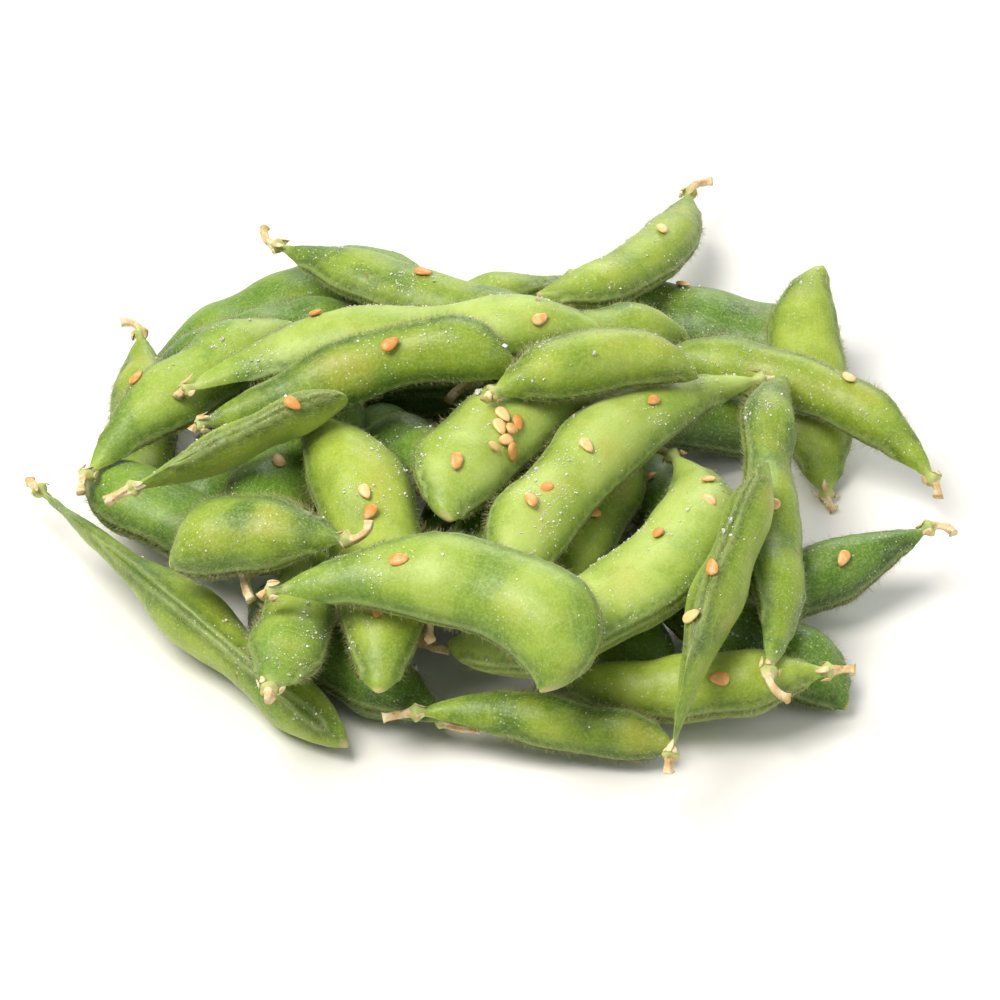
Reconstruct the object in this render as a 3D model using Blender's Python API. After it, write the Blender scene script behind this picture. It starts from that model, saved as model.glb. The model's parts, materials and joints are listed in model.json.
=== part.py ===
"""A bundle of cooked edamame pods lying in a loose heap, with toasted sesame seeds on them.

Every pod is one closed solid: cut stalk, calyx, neck, two or three bean swellings and a beak. A pod
starts as a UV sphere whose rings are carried along the pod's curved spine. LAYOUT gives each pod's shape
and roughly where it lies, and settle() moves them apart until no two touch and then lowers each onto
what lies beneath it. Pods that reach the surface below rest on a small flat spot. Sizes are in
millimetres and become metres when a mesh is made.
"""

import math
from dataclasses import dataclass

import bmesh
import bpy
import numpy as np
from mathutils import Vector
from mathutils.bvhtree import BVHTree

MM = 0.001

# Mesh resolution of a pod's solid
SIDES = 10
STALK_STATIONS = (-0.96, -0.55, -0.12)
BODY_STATIONS = (0.008,) + tuple(0.055 + 0.085 * k for k in range(11)) + (0.968,)

# Sizes shared by all pods, in millimetres
STALK_RADIUS = 0.7
STALK_END_RADIUS = 0.9
CALYX_RADIUS = 1.35
CALYX_REACH = 1.8
BEAK_RADIUS = 0.7
SEAM_RIDGE = 0.4

# How much of its bean side's waves a pod's other seam takes
STRAIGHT_WAVE = 0.4

# How the heap settles: the gap between pods, the depth of a flat spot and how near two pods lie when
# they are looked at are in millimetres, and the largest turn in a pass is in radians
GAP = 0.55
FLAT_DEPTH = 0.65
NEAR = 24.0
PULL = 0.12
SPREAD = 1.15
STIFF = 0.4
TURN_STIFF = 240.0
LARGEST_TURN = 0.1
PASSES = 180
LOWERING = 50
QUIET = 50
REFRESH = 8

# How the settled pods come down onto each other: the gap left between two pods' solids, measured
# straight down, and one step down, in millimetres, and how often all of them are let down
TOUCH = 0.3
STEP = 0.1
LOWER_ROUNDS = 3

# The balls that stand in for a pod while the heap settles: on its stalk, and in a row along its body
STALK_BALLS = 2
BALL_STATIONS = 15

# A sesame seed, in millimetres, and its mesh resolution
SEED_LENGTH = 3.1
SEED_WIDTH = 1.9
SEED_DEPTH = 0.9
SEED_LIFT = 0.2
SEED_SIDES = 8
SEED_RINGS = 5

# Base colours (linear) and roughness of the materials
FINISHES = {
    "deep": ((0.055, 0.170, 0.020, 1.0), 0.45),
    "leaf": ((0.150, 0.360, 0.045, 1.0), 0.45),
    "light": ((0.260, 0.480, 0.090, 1.0), 0.45),
    "sesame": ((0.620, 0.340, 0.110, 1.0), 0.50),
}


@dataclass(frozen=True)
class Pod:
    """One pod: its shape, and roughly where it lies.

    length is from calyx to beak, width between the two seams and depth through the beans. bend is how
    far the spine turns in the pod's own plane, hook how much of that turn comes late, sway how far it
    snakes to both sides, and twist how far the seams wind round it. middle is the share of the length at
    which the row of beans has its middle, neck and taper the shares over which the pod widens and narrows.
    waist is the share of the depth that it loses between beans and wave that of the width on the bean
    side. lean is how near the beak lies to the straight seam. x, y and z are where the pod's middle lies,
    heading the way from stalk to beak in plan, pitch how far the beak is up and roll the turn about its
    own length.
    """

    name: str
    x: float
    y: float
    z: float
    heading: float
    pitch: float
    roll: float
    length: float
    bend: float = 0.0
    beans: int = 3
    width: float = 15.0
    depth: float = 11.0
    hook: float = 0.0
    sway: float = 0.0
    twist: float = 0.0
    middle: float = 0.54
    neck: float = 0.35
    taper: float = 0.3
    waist: float = 0.32
    wave: float = 0.12
    lean: float = 0.6
    flip: int = 1
    stalk: float = 6.0
    stalk_bend: float = 40.0
    tint: str = "leaf"


@dataclass(frozen=True)
class Seed:
    """One sesame seed lying on a pod, by the pod's number.

    share is how far along the pod it lies, from calyx to beak. It lies where the skin faces most nearly
    the direction that leans from straight up by lean, towards the heading towards. spin turns it away from
    the pod's length. Angles are in degrees.
    """

    pod: int
    share: float
    lean: float = 30.0
    towards: float = -90.0
    spin: float = 0.0


LAYOUT = (
    # On the surface below, under the heap and behind it
    Pod("pod_01", -34, 33, 5, 30, 0, 0, 54, bend=20, tint="deep"),
    Pod("pod_02", 32, 35, 5, -25, 0, 5, 54, bend=15, tint="deep"),
    Pod("pod_03", -6, 24, 5, 30, 0, 0, 50, bend=10, tint="deep"),
    Pod("pod_04", -10, 35, 5, 182, 0, 10, 50, bend=15, width=13, tint="leaf"),
    Pod("pod_05", 28, -14, 5, -66, 0, 0, 48, bend=10, width=14, tint="deep"),
    Pod("pod_06", 3, -10, 7, 36, 5, 0, 46, bend=10, width=14, tint="deep"),
    Pod("pod_07", -3, -38, 6, 70, 5, 0, 46, bend=10, width=14, tint="deep"),
    Pod("pod_08", -13, -30, 5, 105, 0, 5, 48, bend=15, width=14, tint="deep"),
    Pod("pod_09", 5, -47, 5, -35, 0, 5, 44, bend=10, width=13, tint="deep"),
    Pod("pod_10", -43, 2, 5, 70, 0, 0, 46, bend=10, width=13, tint="deep"),
    Pod("pod_11", 30, 12, 6, 20, 0, 5, 46, bend=15, width=13, tint="deep"),
    # Low round the edge
    Pod(
        "pod_12", 43, -35, 6, -148, 0, -15, 40,
        bend=10, beans=2, middle=0.6, neck=0.5, waist=0.1, wave=0.15, width=11, stalk=4.5,
        stalk_bend=-100, tint="deep",
    ),
    Pod("pod_13", 36, -44, 6, -22, -5, 30, 36, bend=10, beans=2, width=11.5, tint="deep"),
    Pod(
        "pod_14", 26, -56, 5, 172, 0, -20, 42,
        bend=10, taper=0.45, waist=0.2, lean=0.8, width=11, stalk=4, stalk_bend=-20, tint="leaf",
    ),
    Pod("pod_15", -20, -49, 5, 142, 0, -10, 44, bend=10, width=12, tint="deep"),
    Pod("pod_16", -44, -23, 12, 155, 5, -20, 40, beans=2, waist=0.1, width=14, tint="deep"),
    Pod(
        "pod_17", -57, 8, 8, -74, -5, 10, 44,
        bend=10, neck=0.45, width=11, depth=9.5, stalk=5, stalk_bend=100, tint="leaf",
    ),
    Pod("pod_18", -37, 17, 9, 24, 0, 15, 44, bend=20, width=12, tint="deep"),
    Pod(
        "pod_19", 50, 15, 8, 88, 15, 0, 46,
        taper=0.45, waist=0.15, lean=0.9, width=13, depth=9.5, stalk=3, tint="leaf",
    ),
    # The middle of the heap
    Pod("pod_20", -12, -3, 12, -55, 15, 5, 44, width=13, tint="deep"),
    Pod("pod_21", 31, 10, 11, 24, -15, 10, 46, width=12, depth=9.5, tint="deep"),
    Pod("pod_22", -33, -20, 15, 65, 0, 15, 52, sway=6, waist=0.15, width=15, tint="deep"),
    Pod("pod_23", -25, -46, 15, 78, -10, 15, 42, neck=0.25, width=11, depth=9.5, stalk=2.5, tint="light"),
    Pod("pod_24", -22, 12, 12, 15, 0, 5, 46, width=12, tint="deep"),
    Pod("pod_25", 18, 11, 15, 32, -5, 30, 42, waist=0.2, width=12, tint="leaf"),
    Pod(
        "pod_26", 17, -25, 12, -110, -5, -20, 44,
        bend=10, beans=2, flip=-1, neck=0.4, waist=0.2, wave=0.22, width=9.5, depth=7.5, stalk=3,
        tint="leaf",
    ),
    Pod(
        "pod_27", 17, -37, 12, -135, -5, 10, 72,
        bend=125, sway=6, neck=0.45, taper=0.3, waist=0.24, wave=0.22, width=17, depth=11.5,
        tint="light",
    ),
    Pod(
        "pod_28", -13, 27, 20, -28, 0, 5, 54,
        bend=20, sway=-5, flip=-1, neck=0.4, waist=0.15, wave=0.16, width=11.5, depth=8.5, stalk=6,
        stalk_bend=70, tint="leaf",
    ),
    Pod(
        "pod_29", 23, 48, 14, -120, 10, -5, 56,
        bend=50, neck=0.45, waist=0.12, width=10.5, depth=9, stalk=7.5, stalk_bend=-70, tint="leaf",
    ),
    Pod(
        "pod_30", 49, 0, 13, 145, 5, -30, 54,
        bend=50, sway=5, flip=-1, neck=0.42, waist=0.15, wave=0.22, width=9.5, depth=8, stalk=3,
        tint="leaf",
    ),
    # On top
    Pod(
        "pod_31", -49, -4, 16, 54, 10, 15, 48,
        bend=10, beans=2, sway=6, middle=0.6, neck=0.5, waist=0.25, wave=0.28, width=12.5, depth=9.5,
        stalk=3.5, tint="light",
    ),
    Pod(
        "pod_32", -37, -25, 27, 24, 10, 120, 38,
        beans=2, sway=-8, middle=0.6, waist=0.3, width=9.5, depth=7, stalk=4.5, tint="leaf",
    ),
    Pod(
        "pod_33", 10, -64, 8, 2, -5, 40, 40,
        bend=5, beans=2, sway=8, twist=40, middle=0.68, neck=0.5, waist=0.42, wave=0.2, width=8,
        depth=6.5, stalk=5, stalk_bend=5, tint="leaf",
    ),
    Pod(
        "pod_34", -44, -40, 9, -46, -5, 125, 76,
        bend=5, beans=2, sway=6, middle=0.7, neck=0.56, taper=0.3, waist=0.5, wave=0.2, lean=0.3,
        width=12, depth=10.5, stalk=6.5, stalk_bend=55, tint="leaf",
    ),
    Pod(
        "pod_35", -19, -39, 20, -65, -15, -5, 58,
        bend=45, beans=2, sway=6, middle=0.5, neck=0.26, taper=0.46, waist=0.2, wave=0.18, lean=0.2,
        width=15, depth=12, stalk=1.5, tint="leaf",
    ),
    Pod(
        "pod_36", -34, -44, 23, 165, -15, -30, 30,
        bend=20, beans=2, middle=0.6, flip=-1, neck=0.62, taper=0.3, waist=0.1, width=12.5, depth=10,
        stalk=5, stalk_bend=-110, tint="leaf",
    ),
    Pod(
        "pod_37", 8, -21, 19, -132, -5, -15, 58,
        bend=50, sway=6, flip=-1, neck=0.42, taper=0.26, waist=0.28, wave=0.16, width=15, stalk=2,
        tint="light",
    ),
    Pod(
        "pod_38", 34, -54, 20, 76, 15, 80, 56,
        bend=10, beans=2, sway=7, middle=0.66, neck=0.6, taper=0.42, waist=0.45, wave=0.25, lean=0.3,
        width=10, depth=9, stalk=2.5, tint="leaf",
    ),
    Pod(
        "pod_39", 44, -31, 19, 86, 5, 30, 70,
        sway=-7, neck=0.34, taper=0.24, waist=0.4, wave=0.4, lean=0.5, width=9.5, depth=8, stalk=6,
        stalk_bend=110, tint="leaf",
    ),
    Pod(
        "pod_40", 21, -21, 19, -133, 0, -20, 74,
        bend=25, beans=2, hook=25, sway=8, middle=0.66, flip=-1, neck=0.4, taper=0.24, waist=0.28,
        wave=0.3, width=13, depth=10, stalk=2, tint="light",
    ),
    Pod(
        "pod_41", -19, -14, 25, 10, 10, 45, 54,
        bend=30, beans=2, sway=-8, middle=0.64, neck=0.42, taper=0.22, waist=0.34, wave=0.26,
        width=10.5, depth=8.5, stalk=1.5, tint="leaf",
    ),
    Pod(
        "pod_42", -15, 0, 28, 10, 5, 10, 70,
        bend=25, beans=2, sway=8, middle=0.6, neck=0.42, taper=0.24, waist=0.38, wave=0.24, width=12.5,
        depth=10, stalk=1.5, tint="light",
    ),
    Pod(
        "pod_43", 17, -9, 30, 25, -5, 30, 37,
        bend=25, neck=0.45, taper=0.5, waist=0.12, lean=0.9, width=11, depth=9, stalk=1.5, tint="leaf",
    ),
    Pod(
        "pod_44", -8, -64, 22, -20, -5, 25, 57,
        bend=35, beans=2, hook=60, middle=0.62, neck=0.6, taper=0.22, waist=0.25, wave=0.18, lean=0.95,
        width=15, depth=11, stalk=1.5, tint="light",
    ),
)


SEEDS = (
    Seed(41, 0.62, spin=20),
    Seed(32, 0.74, spin=-60),
    Seed(22, 0.42, spin=30),
    Seed(35, 0.40, spin=10),
    Seed(35, 0.47, spin=-35),
    Seed(37, 0.86, spin=15),
    Seed(37, 0.60, lean=35, towards=-60, spin=50),
    Seed(37, 0.68, lean=35, towards=-55, spin=-20),
    Seed(37, 0.61, lean=20, towards=-60, spin=70),
    Seed(40, 0.34, spin=5),
    Seed(40, 0.58, spin=65),
    Seed(40, 0.74, lean=20, spin=-10),
    Seed(42, 0.70, spin=-15),
    Seed(27, 0.30, lean=20, spin=40),
    Seed(39, 0.48, spin=80),
    Seed(44, 0.36, lean=20, spin=-5),
)


def smooth(x):
    """0 below 0, 1 above 1, and a soft step between."""
    x = np.clip(x, 0.0, 1.0)
    return x * x * (3.0 - 2.0 * x)


def swelling(pod, s):
    """How near each arc share is to the middle of a bean, from 0 between beans to about 1."""
    spacing = 0.26 if pod.beans == 3 else 0.34
    centres = pod.middle + spacing * (np.arange(pod.beans) - (pod.beans - 1) / 2)
    return np.exp(-(((s[:, None] - centres) / (0.42 * spacing)) ** 2)).sum(axis=1)


def tail(pod, s):
    """How wide the pod still is towards its beak, from 1 down to 0, rounded off like an ellipse."""
    return (1.0 - np.clip((s - 1.0 + pod.taper) / pod.taper, 0.0, 1.0) ** 2.2) ** 0.6


def half_sizes(pod, s):
    """Half widths towards each seam and half depth at arc shares s, in millimetres.

    The pod widens along the neck as a sine and rounds off towards the beak. The swellings thicken it
    and push out the seam on the bean side, and the other seam by a share of that.
    """
    body = np.sin(0.5 * math.pi * np.clip(s / pod.neck, 0.0, 1.0)) ** 0.9 * tail(pod, s)
    bean = swelling(pod, s)
    bulging = 0.5 * pod.width * body * (1.0 - pod.wave * (1.0 - bean))
    straight = 0.5 * pod.width * body * (1.0 - STRAIGHT_WAVE * pod.wave * (1.0 - bean))
    deep = 0.5 * pod.depth * body * (1.0 - pod.waist + pod.waist * bean)
    calyx = CALYX_RADIUS * np.exp(-((s * pod.length / CALYX_REACH) ** 2))
    beak = BEAK_RADIUS * smooth((1.0 - s) / 0.03) * (s > 0.9)
    stalk = STALK_RADIUS + (STALK_END_RADIUS - STALK_RADIUS) * s**2
    least = np.where(s < 0.0, stalk, np.maximum(calyx, beak))
    return np.maximum(bulging, least), np.maximum(straight, least), np.maximum(deep, least)


def spine(pod, s):
    """Centre points and in-plane directions at arc shares s, in the pod's own plane, in millimetres.

    The direction turns evenly by bend, late by hook and to and fro by sway. Where the pod narrows to its
    beak the centre moves towards the straight seam. The stalk, at shares below 0, goes on from the calyx
    and turns by stalk_bend over its own length.
    """
    fine = np.linspace(0.0, 1.0, 201)
    turn = np.radians(pod.bend) * (0.5 - fine) + np.radians(pod.hook) * (0.25 - fine**3)
    turn += np.radians(pod.sway) * np.cos(2.0 * math.pi * fine)
    step = np.stack([np.cos(turn), np.sin(turn)], axis=1) * pod.length / 200
    path = np.vstack([np.zeros(2), np.cumsum(0.5 * (step[1:] + step[:-1]), axis=0)])
    path -= 0.5 * (path[0] + path[-1])
    level = math.atan2(path[-1, 1] - path[0, 1], path[-1, 0] - path[0, 0])
    on_body, back = np.clip(s, 0.0, 1.0), np.clip(-s, 0.0, 1.0)
    curl = math.radians(pod.stalk_bend)
    angle = np.interp(on_body, fine, turn) + curl * back
    centre = np.stack([np.interp(on_body, fine, path[:, k]) for k in range(2)], axis=1)
    reach = pod.stalk * back * np.sinc(curl * back / (2.0 * math.pi))
    way = turn[0] + 0.5 * curl * back
    centre -= reach[:, None] * np.stack([np.cos(way), np.sin(way)], axis=1)
    shift = -0.5 * pod.width * pod.lean * (1.0 - tail(pod, on_body))
    centre += shift[:, None] * np.stack([-np.sin(angle), np.cos(angle)], axis=1)
    c, n = math.cos(-level), math.sin(-level)
    centre = centre @ np.array([[c, n], [-n, c]])
    return centre, angle - level


def surface(pod, s, phi):
    """Points of the pod's skin, as an array (len(s), len(phi), 3) in millimetres.

    phi runs round the section: 0 at the seam on the bean side, pi at the other seam. The section is an
    ellipse with a low ridge at both seams.
    """
    centre, angle = spine(pod, s)
    bulging, straight, deep = half_sizes(pod, s)
    wind = np.radians(pod.twist) * (s - 0.5)
    across = np.where(np.cos(phi) > 0, bulging[:, None], straight[:, None]) * np.cos(phi)
    ridge = SEAM_RIDGE * smooth(s / 0.1)[:, None] * np.sign(np.cos(phi)) * np.abs(np.cos(phi)) ** 24
    across = across + ridge * smooth((1.0 - s) / 0.05)[:, None]
    up = deep[:, None] * np.sin(phi)
    y = across * np.cos(wind)[:, None] - up * np.sin(wind)[:, None]
    z = across * np.sin(wind)[:, None] + up * np.cos(wind)[:, None]
    points = np.empty((len(s), len(phi), 3))
    points[..., 0] = centre[:, None, 0] - y * np.sin(angle)[:, None]
    points[..., 1] = (centre[:, None, 1] + y * np.cos(angle)[:, None]) * pod.flip
    points[..., 2] = z
    return points


def facets(pod):
    """Corner points of the pod's solid, ring by ring from the stalk's cut end, and its two poles."""
    s = np.array(STALK_STATIONS + BODY_STATIONS)
    phi = 2.0 * math.pi * np.arange(SIDES) / SIDES
    rings = surface(pod, s, phi)
    ends = surface(pod, np.array([-1.0, 1.0]), phi).mean(axis=1)
    return rings, ends


def turn_of(heading, pitch, roll):
    """Rotation matrix: roll about the pod's length, then pitch (beak up), then heading in plan."""
    h, p, r = (math.radians(value) for value in (heading, pitch, roll))
    about_length = np.array([[1, 0, 0], [0, math.cos(r), -math.sin(r)], [0, math.sin(r), math.cos(r)]])
    about_side = np.array([[math.cos(p), 0, -math.sin(p)], [0, 1, 0], [math.sin(p), 0, math.cos(p)]])
    about_up = np.array([[math.cos(h), -math.sin(h), 0], [math.sin(h), math.cos(h), 0], [0, 0, 1]])
    return about_up @ about_side @ about_length


def small_turn(turns):
    """Rotation matrices (n, 3, 3) for small rotation vectors (n, 3), kept exactly orthogonal."""
    size = np.linalg.norm(turns, axis=1)
    axis = turns / np.maximum(size, 1e-12)[:, None]
    cross = np.zeros((len(turns), 3, 3))
    cross[:, 0, 1], cross[:, 0, 2], cross[:, 1, 2] = -axis[:, 2], axis[:, 1], -axis[:, 0]
    cross -= np.transpose(cross, (0, 2, 1))
    sine, cosine = np.sin(size)[:, None, None], np.cos(size)[:, None, None]
    return np.eye(3) + sine * cross + (1.0 - cosine) * cross @ cross


def balls(pod):
    """Centres and radii of the balls that fill the pod, for finding where two pods touch.

    Three stand side by side at each station, so that they cover the flattened section. The first stations
    follow the stalk.
    """
    s = np.concatenate([np.linspace(-0.85, -0.35, STALK_BALLS), np.linspace(0.03, 0.975, BALL_STATIONS)])
    skin = surface(pod, s, 0.5 * math.pi * np.arange(4))
    bulging, straight, deep = half_sizes(pod, s)
    middle = 0.5 * (skin[:, 1] + skin[:, 3])
    out = skin[:, 0] - middle
    out /= np.linalg.norm(out, axis=1)[:, None]
    sides = (bulging - deep, np.zeros(len(s)), deep - straight)
    return np.concatenate([middle + out * side[:, None] for side in sides]), np.tile(deep, len(sides))


def close_pairs(spots):
    """Index pairs of pods whose middle balls come within NEAR of each other."""
    first, second = np.triu_indices(len(spots), 1)
    row = STALK_BALLS + BALL_STATIONS
    line = spots[:, row + STALK_BALLS : 2 * row]
    apart = line[first][:, :, None] - line[second][:, None]
    near = np.sqrt((apart**2).sum(axis=3)).min(axis=(1, 2)) < NEAR
    return first[near], second[near]


def contacts(arms, place, radii, pairs):
    """Where pods touch each other or the surface below, each contact once for every pod in it.

    arms are the balls from their pod's middle, in the heap's directions. Returns the pods' indices, the
    directions they are pushed, the touching points from their middles, and how far each is to move.
    """
    spots = arms + place[:, None]
    one, two = pairs
    apart = (spots[one][:, :, None] - spots[two][:, None]).astype(np.float32)
    distance = np.sqrt(np.einsum("pijk,pijk->pij", apart, apart))
    depth = (radii[one][:, :, None] + radii[two][:, None] + GAP).astype(np.float32) - distance
    pair, ball_one, ball_two = np.nonzero(depth > 0.0)
    push = 0.5 * depth[pair, ball_one, ball_two]
    normal = apart[pair, ball_one, ball_two] / distance[pair, ball_one, ball_two][:, None]
    sunk = radii - spots[:, :, 2] - FLAT_DEPTH
    low_pod, low_ball = np.nonzero(sunk > 0.0)
    who = np.concatenate([one[pair], two[pair], low_pod])
    ball = np.concatenate([ball_one, ball_two, low_ball])
    way = np.concatenate([normal, -normal, np.tile([0.0, 0.0, 1.0], (len(low_pod), 1))])
    step = np.concatenate([push, push, sunk[low_pod, low_ball]])
    return who, way, arms[who, ball] - way * radii[who, ball][:, None], step


def pushed(count, who, way, arm, step):
    """The moves (n, 3) and small turns (n, 3) that best part the contacts, each pod by least squares."""
    lever = np.concatenate([way, np.cross(arm, way)], axis=1)
    system = np.zeros((count, 6, 6))
    wanted = np.zeros((count, 6))
    np.add.at(system, who, lever[:, :, None] * lever[:, None, :])
    np.add.at(wanted, who, lever * step[:, None])
    system += np.diag([STIFF] * 3 + [TURN_STIFF] * 3)
    move = np.linalg.solve(system, wanted[..., None])[..., 0]
    return move[:, :3], np.clip(move[:, 3:], -LARGEST_TURN, LARGEST_TURN)


def settle(pods):
    """Where the pods come to rest: positions (n, 3) and rotation matrices (n, 3, 3), in millimetres.

    The rows' heights start drawn apart and come down over the first passes. In every pass a weak pull
    leads each pod back to its row's place and turn, and then touching pods are pushed and turned apart.
    The pull fades, and the last passes only push apart.
    """
    home = np.array([[pod.x, pod.y, pod.z] for pod in pods], dtype=np.float64)
    home_turn = np.array([turn_of(pod.heading, pod.pitch, pod.roll) for pod in pods])
    place, turn = home * np.array([1.0, 1.0, SPREAD]), home_turn.copy()
    filled = [balls(pod) for pod in pods]
    centres = np.array([pair[0] for pair in filled])
    radii = np.array([pair[1] for pair in filled])
    for number in range(PASSES):
        high = 1.0 + (SPREAD - 1.0) * max(0.0, 1.0 - number / LOWERING)
        pull = PULL * min(1.0, max(0.0, (PASSES - QUIET - number) / QUIET))
        place += pull * (home * np.array([1.0, 1.0, high]) - place)
        wound = home_turn @ np.transpose(turn, (0, 2, 1))
        lean = 0.5 * (wound - np.transpose(wound, (0, 2, 1)))
        back = np.stack([lean[:, 2, 1], lean[:, 0, 2], lean[:, 1, 0]], axis=1)
        turn = small_turn(pull * back) @ turn
        arms = np.einsum("nij,nkj->nki", turn, centres)
        if number % REFRESH == 0:
            pairs = close_pairs(arms + place[:, None])
        moves, turns = pushed(len(pods), *contacts(arms, place, radii, pairs))
        place = place + moves
        turn = small_turn(turns) @ turn
    return place, turn


def posed(points, place, turn):
    """Points of one pod in the heap, from its own frame."""
    return points @ turn.T + place


def seed_spot(seed, pod, place, turn):
    """Where a seed lies on its pod: its centre and its frame (along, across, out of the skin)."""
    phi = np.radians(np.arange(0.0, 360.0, 5.0))
    near = seed.share + np.array([-0.01, 0.0, 0.01])
    skin = posed(surface(pod, near, phi).reshape(-1, 3), place, turn).reshape(3, len(phi), 3)
    along = skin[2] - skin[0]
    around = (np.roll(skin[1], -1, axis=0) - np.roll(skin[1], 1, axis=0)) * pod.flip
    out = np.cross(around, along)
    out /= np.linalg.norm(out, axis=1)[:, None]
    lean, towards = math.radians(seed.lean), math.radians(seed.towards)
    level = math.sin(lean)
    wanted = np.array([level * math.cos(towards), level * math.sin(towards), math.cos(lean)])
    best = int(np.argmax(out @ wanted))
    up = out[best]
    first = along[best] - up * (along[best] @ up)
    first /= np.linalg.norm(first)
    spin = math.radians(seed.spin)
    first = math.cos(spin) * first + math.sin(spin) * np.cross(up, first)
    centre = skin[1, best] + up * (SEED_LIFT + 0.5 * SEED_DEPTH)
    return centre, np.stack([first, np.cross(up, first), up], axis=1)


def closed_tube(sides, rings, corners, ends):
    """A closed bmesh from a UV sphere whose rings and poles are moved to the given points.

    corners is (rings, sides, 3) from the first pole to the second, ends the two poles, in millimetres.
    """
    mesh = bmesh.new()
    bmesh.ops.create_uvsphere(mesh, u_segments=sides, v_segments=rings + 1, radius=1.0)
    for vertex in mesh.verts:
        ring = round(math.acos(max(-1.0, min(1.0, vertex.co.z))) / math.pi * (rings + 1))
        if ring in (0, rings + 1):
            vertex.co = ends[0 if ring == 0 else 1] * MM
        else:
            side = round(math.atan2(vertex.co.y, vertex.co.x) / (2.0 * math.pi) * sides) % sides
            vertex.co = corners[ring - 1, side] * MM
    if mesh.calc_volume(signed=True) < 0.0:
        bmesh.ops.reverse_faces(mesh, faces=mesh.faces[:])
    return mesh


def flatten_below(mesh):
    """Cut a closed bmesh off at the surface below, which leaves a small flat spot where it reaches it."""
    geometry = mesh.verts[:] + mesh.edges[:] + mesh.faces[:]
    cut = bmesh.ops.bisect_plane(
        mesh, geom=geometry, dist=0.01 * MM, plane_co=(0, 0, 0), plane_no=(0, 0, 1), clear_inner=True
    )
    rim = [item for item in cut["geom_cut"] if isinstance(item, bmesh.types.BMEdge)]
    bmesh.ops.holes_fill(mesh, edges=rim, sides=0)


def pod_mesh(pod, place, turn):
    """The closed mesh of one pod where it lies."""
    rings, ends = facets(pod)
    mesh = closed_tube(SIDES, len(rings), posed(rings, place, turn), posed(ends, place, turn))
    if min(vertex.co.z for vertex in mesh.verts) < 0.0:
        flatten_below(mesh)
    return mesh


def lower(meshes):
    """Let every pod's mesh straight down onto what lies beneath it, the lowest first.

    A pod stops where its facets would come nearer than TOUCH to another pod's, or at the surface below.
    One pod can lie on another that comes down after it, so all of them take their turn again. Returns
    how far each pod has come down, in millimetres.
    """
    trees = [BVHTree.FromBMesh(mesh) for mesh in meshes]
    lowest = np.array([min(vertex.co.z for vertex in mesh.verts) for mesh in meshes]) / MM
    falls = np.zeros(len(meshes))
    for own in np.tile(np.argsort(lowest), LOWER_ROUNDS):
        mesh = meshes[own]
        mesh.verts.index_update()
        points = np.array([vertex.co for vertex in mesh.verts])
        faces = [[vertex.index for vertex in face.verts] for face in mesh.faces]
        others = trees[:own] + trees[own + 1 :]
        fall, free = 0.0, True
        while free and lowest[own] - falls[own] - fall >= STEP:
            ahead = points - np.array([0.0, 0.0, (fall + STEP + TOUCH) * MM])
            tree = BVHTree.FromPolygons(ahead.tolist(), faces)
            free = not any(tree.overlap(other) for other in others)
            fall += STEP if free else 0.0
        bmesh.ops.translate(mesh, verts=mesh.verts[:], vec=Vector((0.0, 0.0, -fall * MM)))
        trees[own] = BVHTree.FromBMesh(mesh)
        falls[own] += fall
    return falls


def seated(mesh, up, pod):
    """Move a seed's mesh down its own up direction until its nearest corner lies SEED_LIFT off a pod."""
    tree = BVHTree.FromPolygons(
        [vertex.co for vertex in pod.data.vertices], [face.vertices for face in pod.data.polygons]
    )
    gap = min(tree.find_nearest(vertex.co)[3] for vertex in mesh.verts) - SEED_LIFT * MM
    bmesh.ops.translate(mesh, verts=mesh.verts[:], vec=Vector(-gap * up))
    return mesh


def seed_mesh(centre, frame):
    """The closed mesh of one seed: a flattened ball, blunt at one end and pointed at the other."""
    polar = math.pi * np.arange(SEED_RINGS + 2) / (SEED_RINGS + 1)
    along = 0.5 * SEED_LENGTH * np.cos(polar)
    wide = np.sin(polar) * (1.0 - 0.28 * np.cos(polar))
    phi = 2.0 * math.pi * np.arange(SEED_SIDES) / SEED_SIDES
    points = np.empty((len(polar), SEED_SIDES, 3))
    points[..., 0] = along[:, None]
    points[..., 1] = 0.5 * SEED_WIDTH * wide[:, None] * np.cos(phi)
    points[..., 2] = 0.5 * SEED_DEPTH * wide[:, None] * np.sin(phi)
    points = points @ frame.T + centre
    return closed_tube(SEED_SIDES, SEED_RINGS, points[1:-1], points[[0, -1], 0])


def finish(tint):
    """The material of the given tint, made once."""
    material = bpy.data.materials.get(tint)
    if material is None:
        material = bpy.data.materials.new(tint)
        material.use_nodes = True
        colour, roughness = FINISHES[tint]
        shader = material.node_tree.nodes["Principled BSDF"]
        shader.inputs["Base Color"].default_value = colour
        shader.inputs["Roughness"].default_value = roughness
        shader.inputs["Metallic"].default_value = 0.0
        material.diffuse_color = colour
    return material


def add_object(name, mesh, tint, collection):
    """One named object with its own closed mesh and material."""
    bmesh.ops.triangulate(mesh, faces=mesh.faces[:])
    data = bpy.data.meshes.new(name)
    mesh.to_mesh(data)
    mesh.free()
    data.materials.append(finish(tint))
    data.shade_smooth()
    piece = bpy.data.objects.new(name, data)
    collection.objects.link(piece)
    return piece


def centre_on_origin(pieces):
    """Move every mesh so that the middle of the heap's box stands over the origin."""
    points = np.array([vertex.co[:] for piece in pieces for vertex in piece.data.vertices])
    middle = 0.5 * (points.min(axis=0) + points.max(axis=0))
    for piece in pieces:
        for vertex in piece.data.vertices:
            vertex.co.x -= middle[0]
            vertex.co.y -= middle[1]


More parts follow.
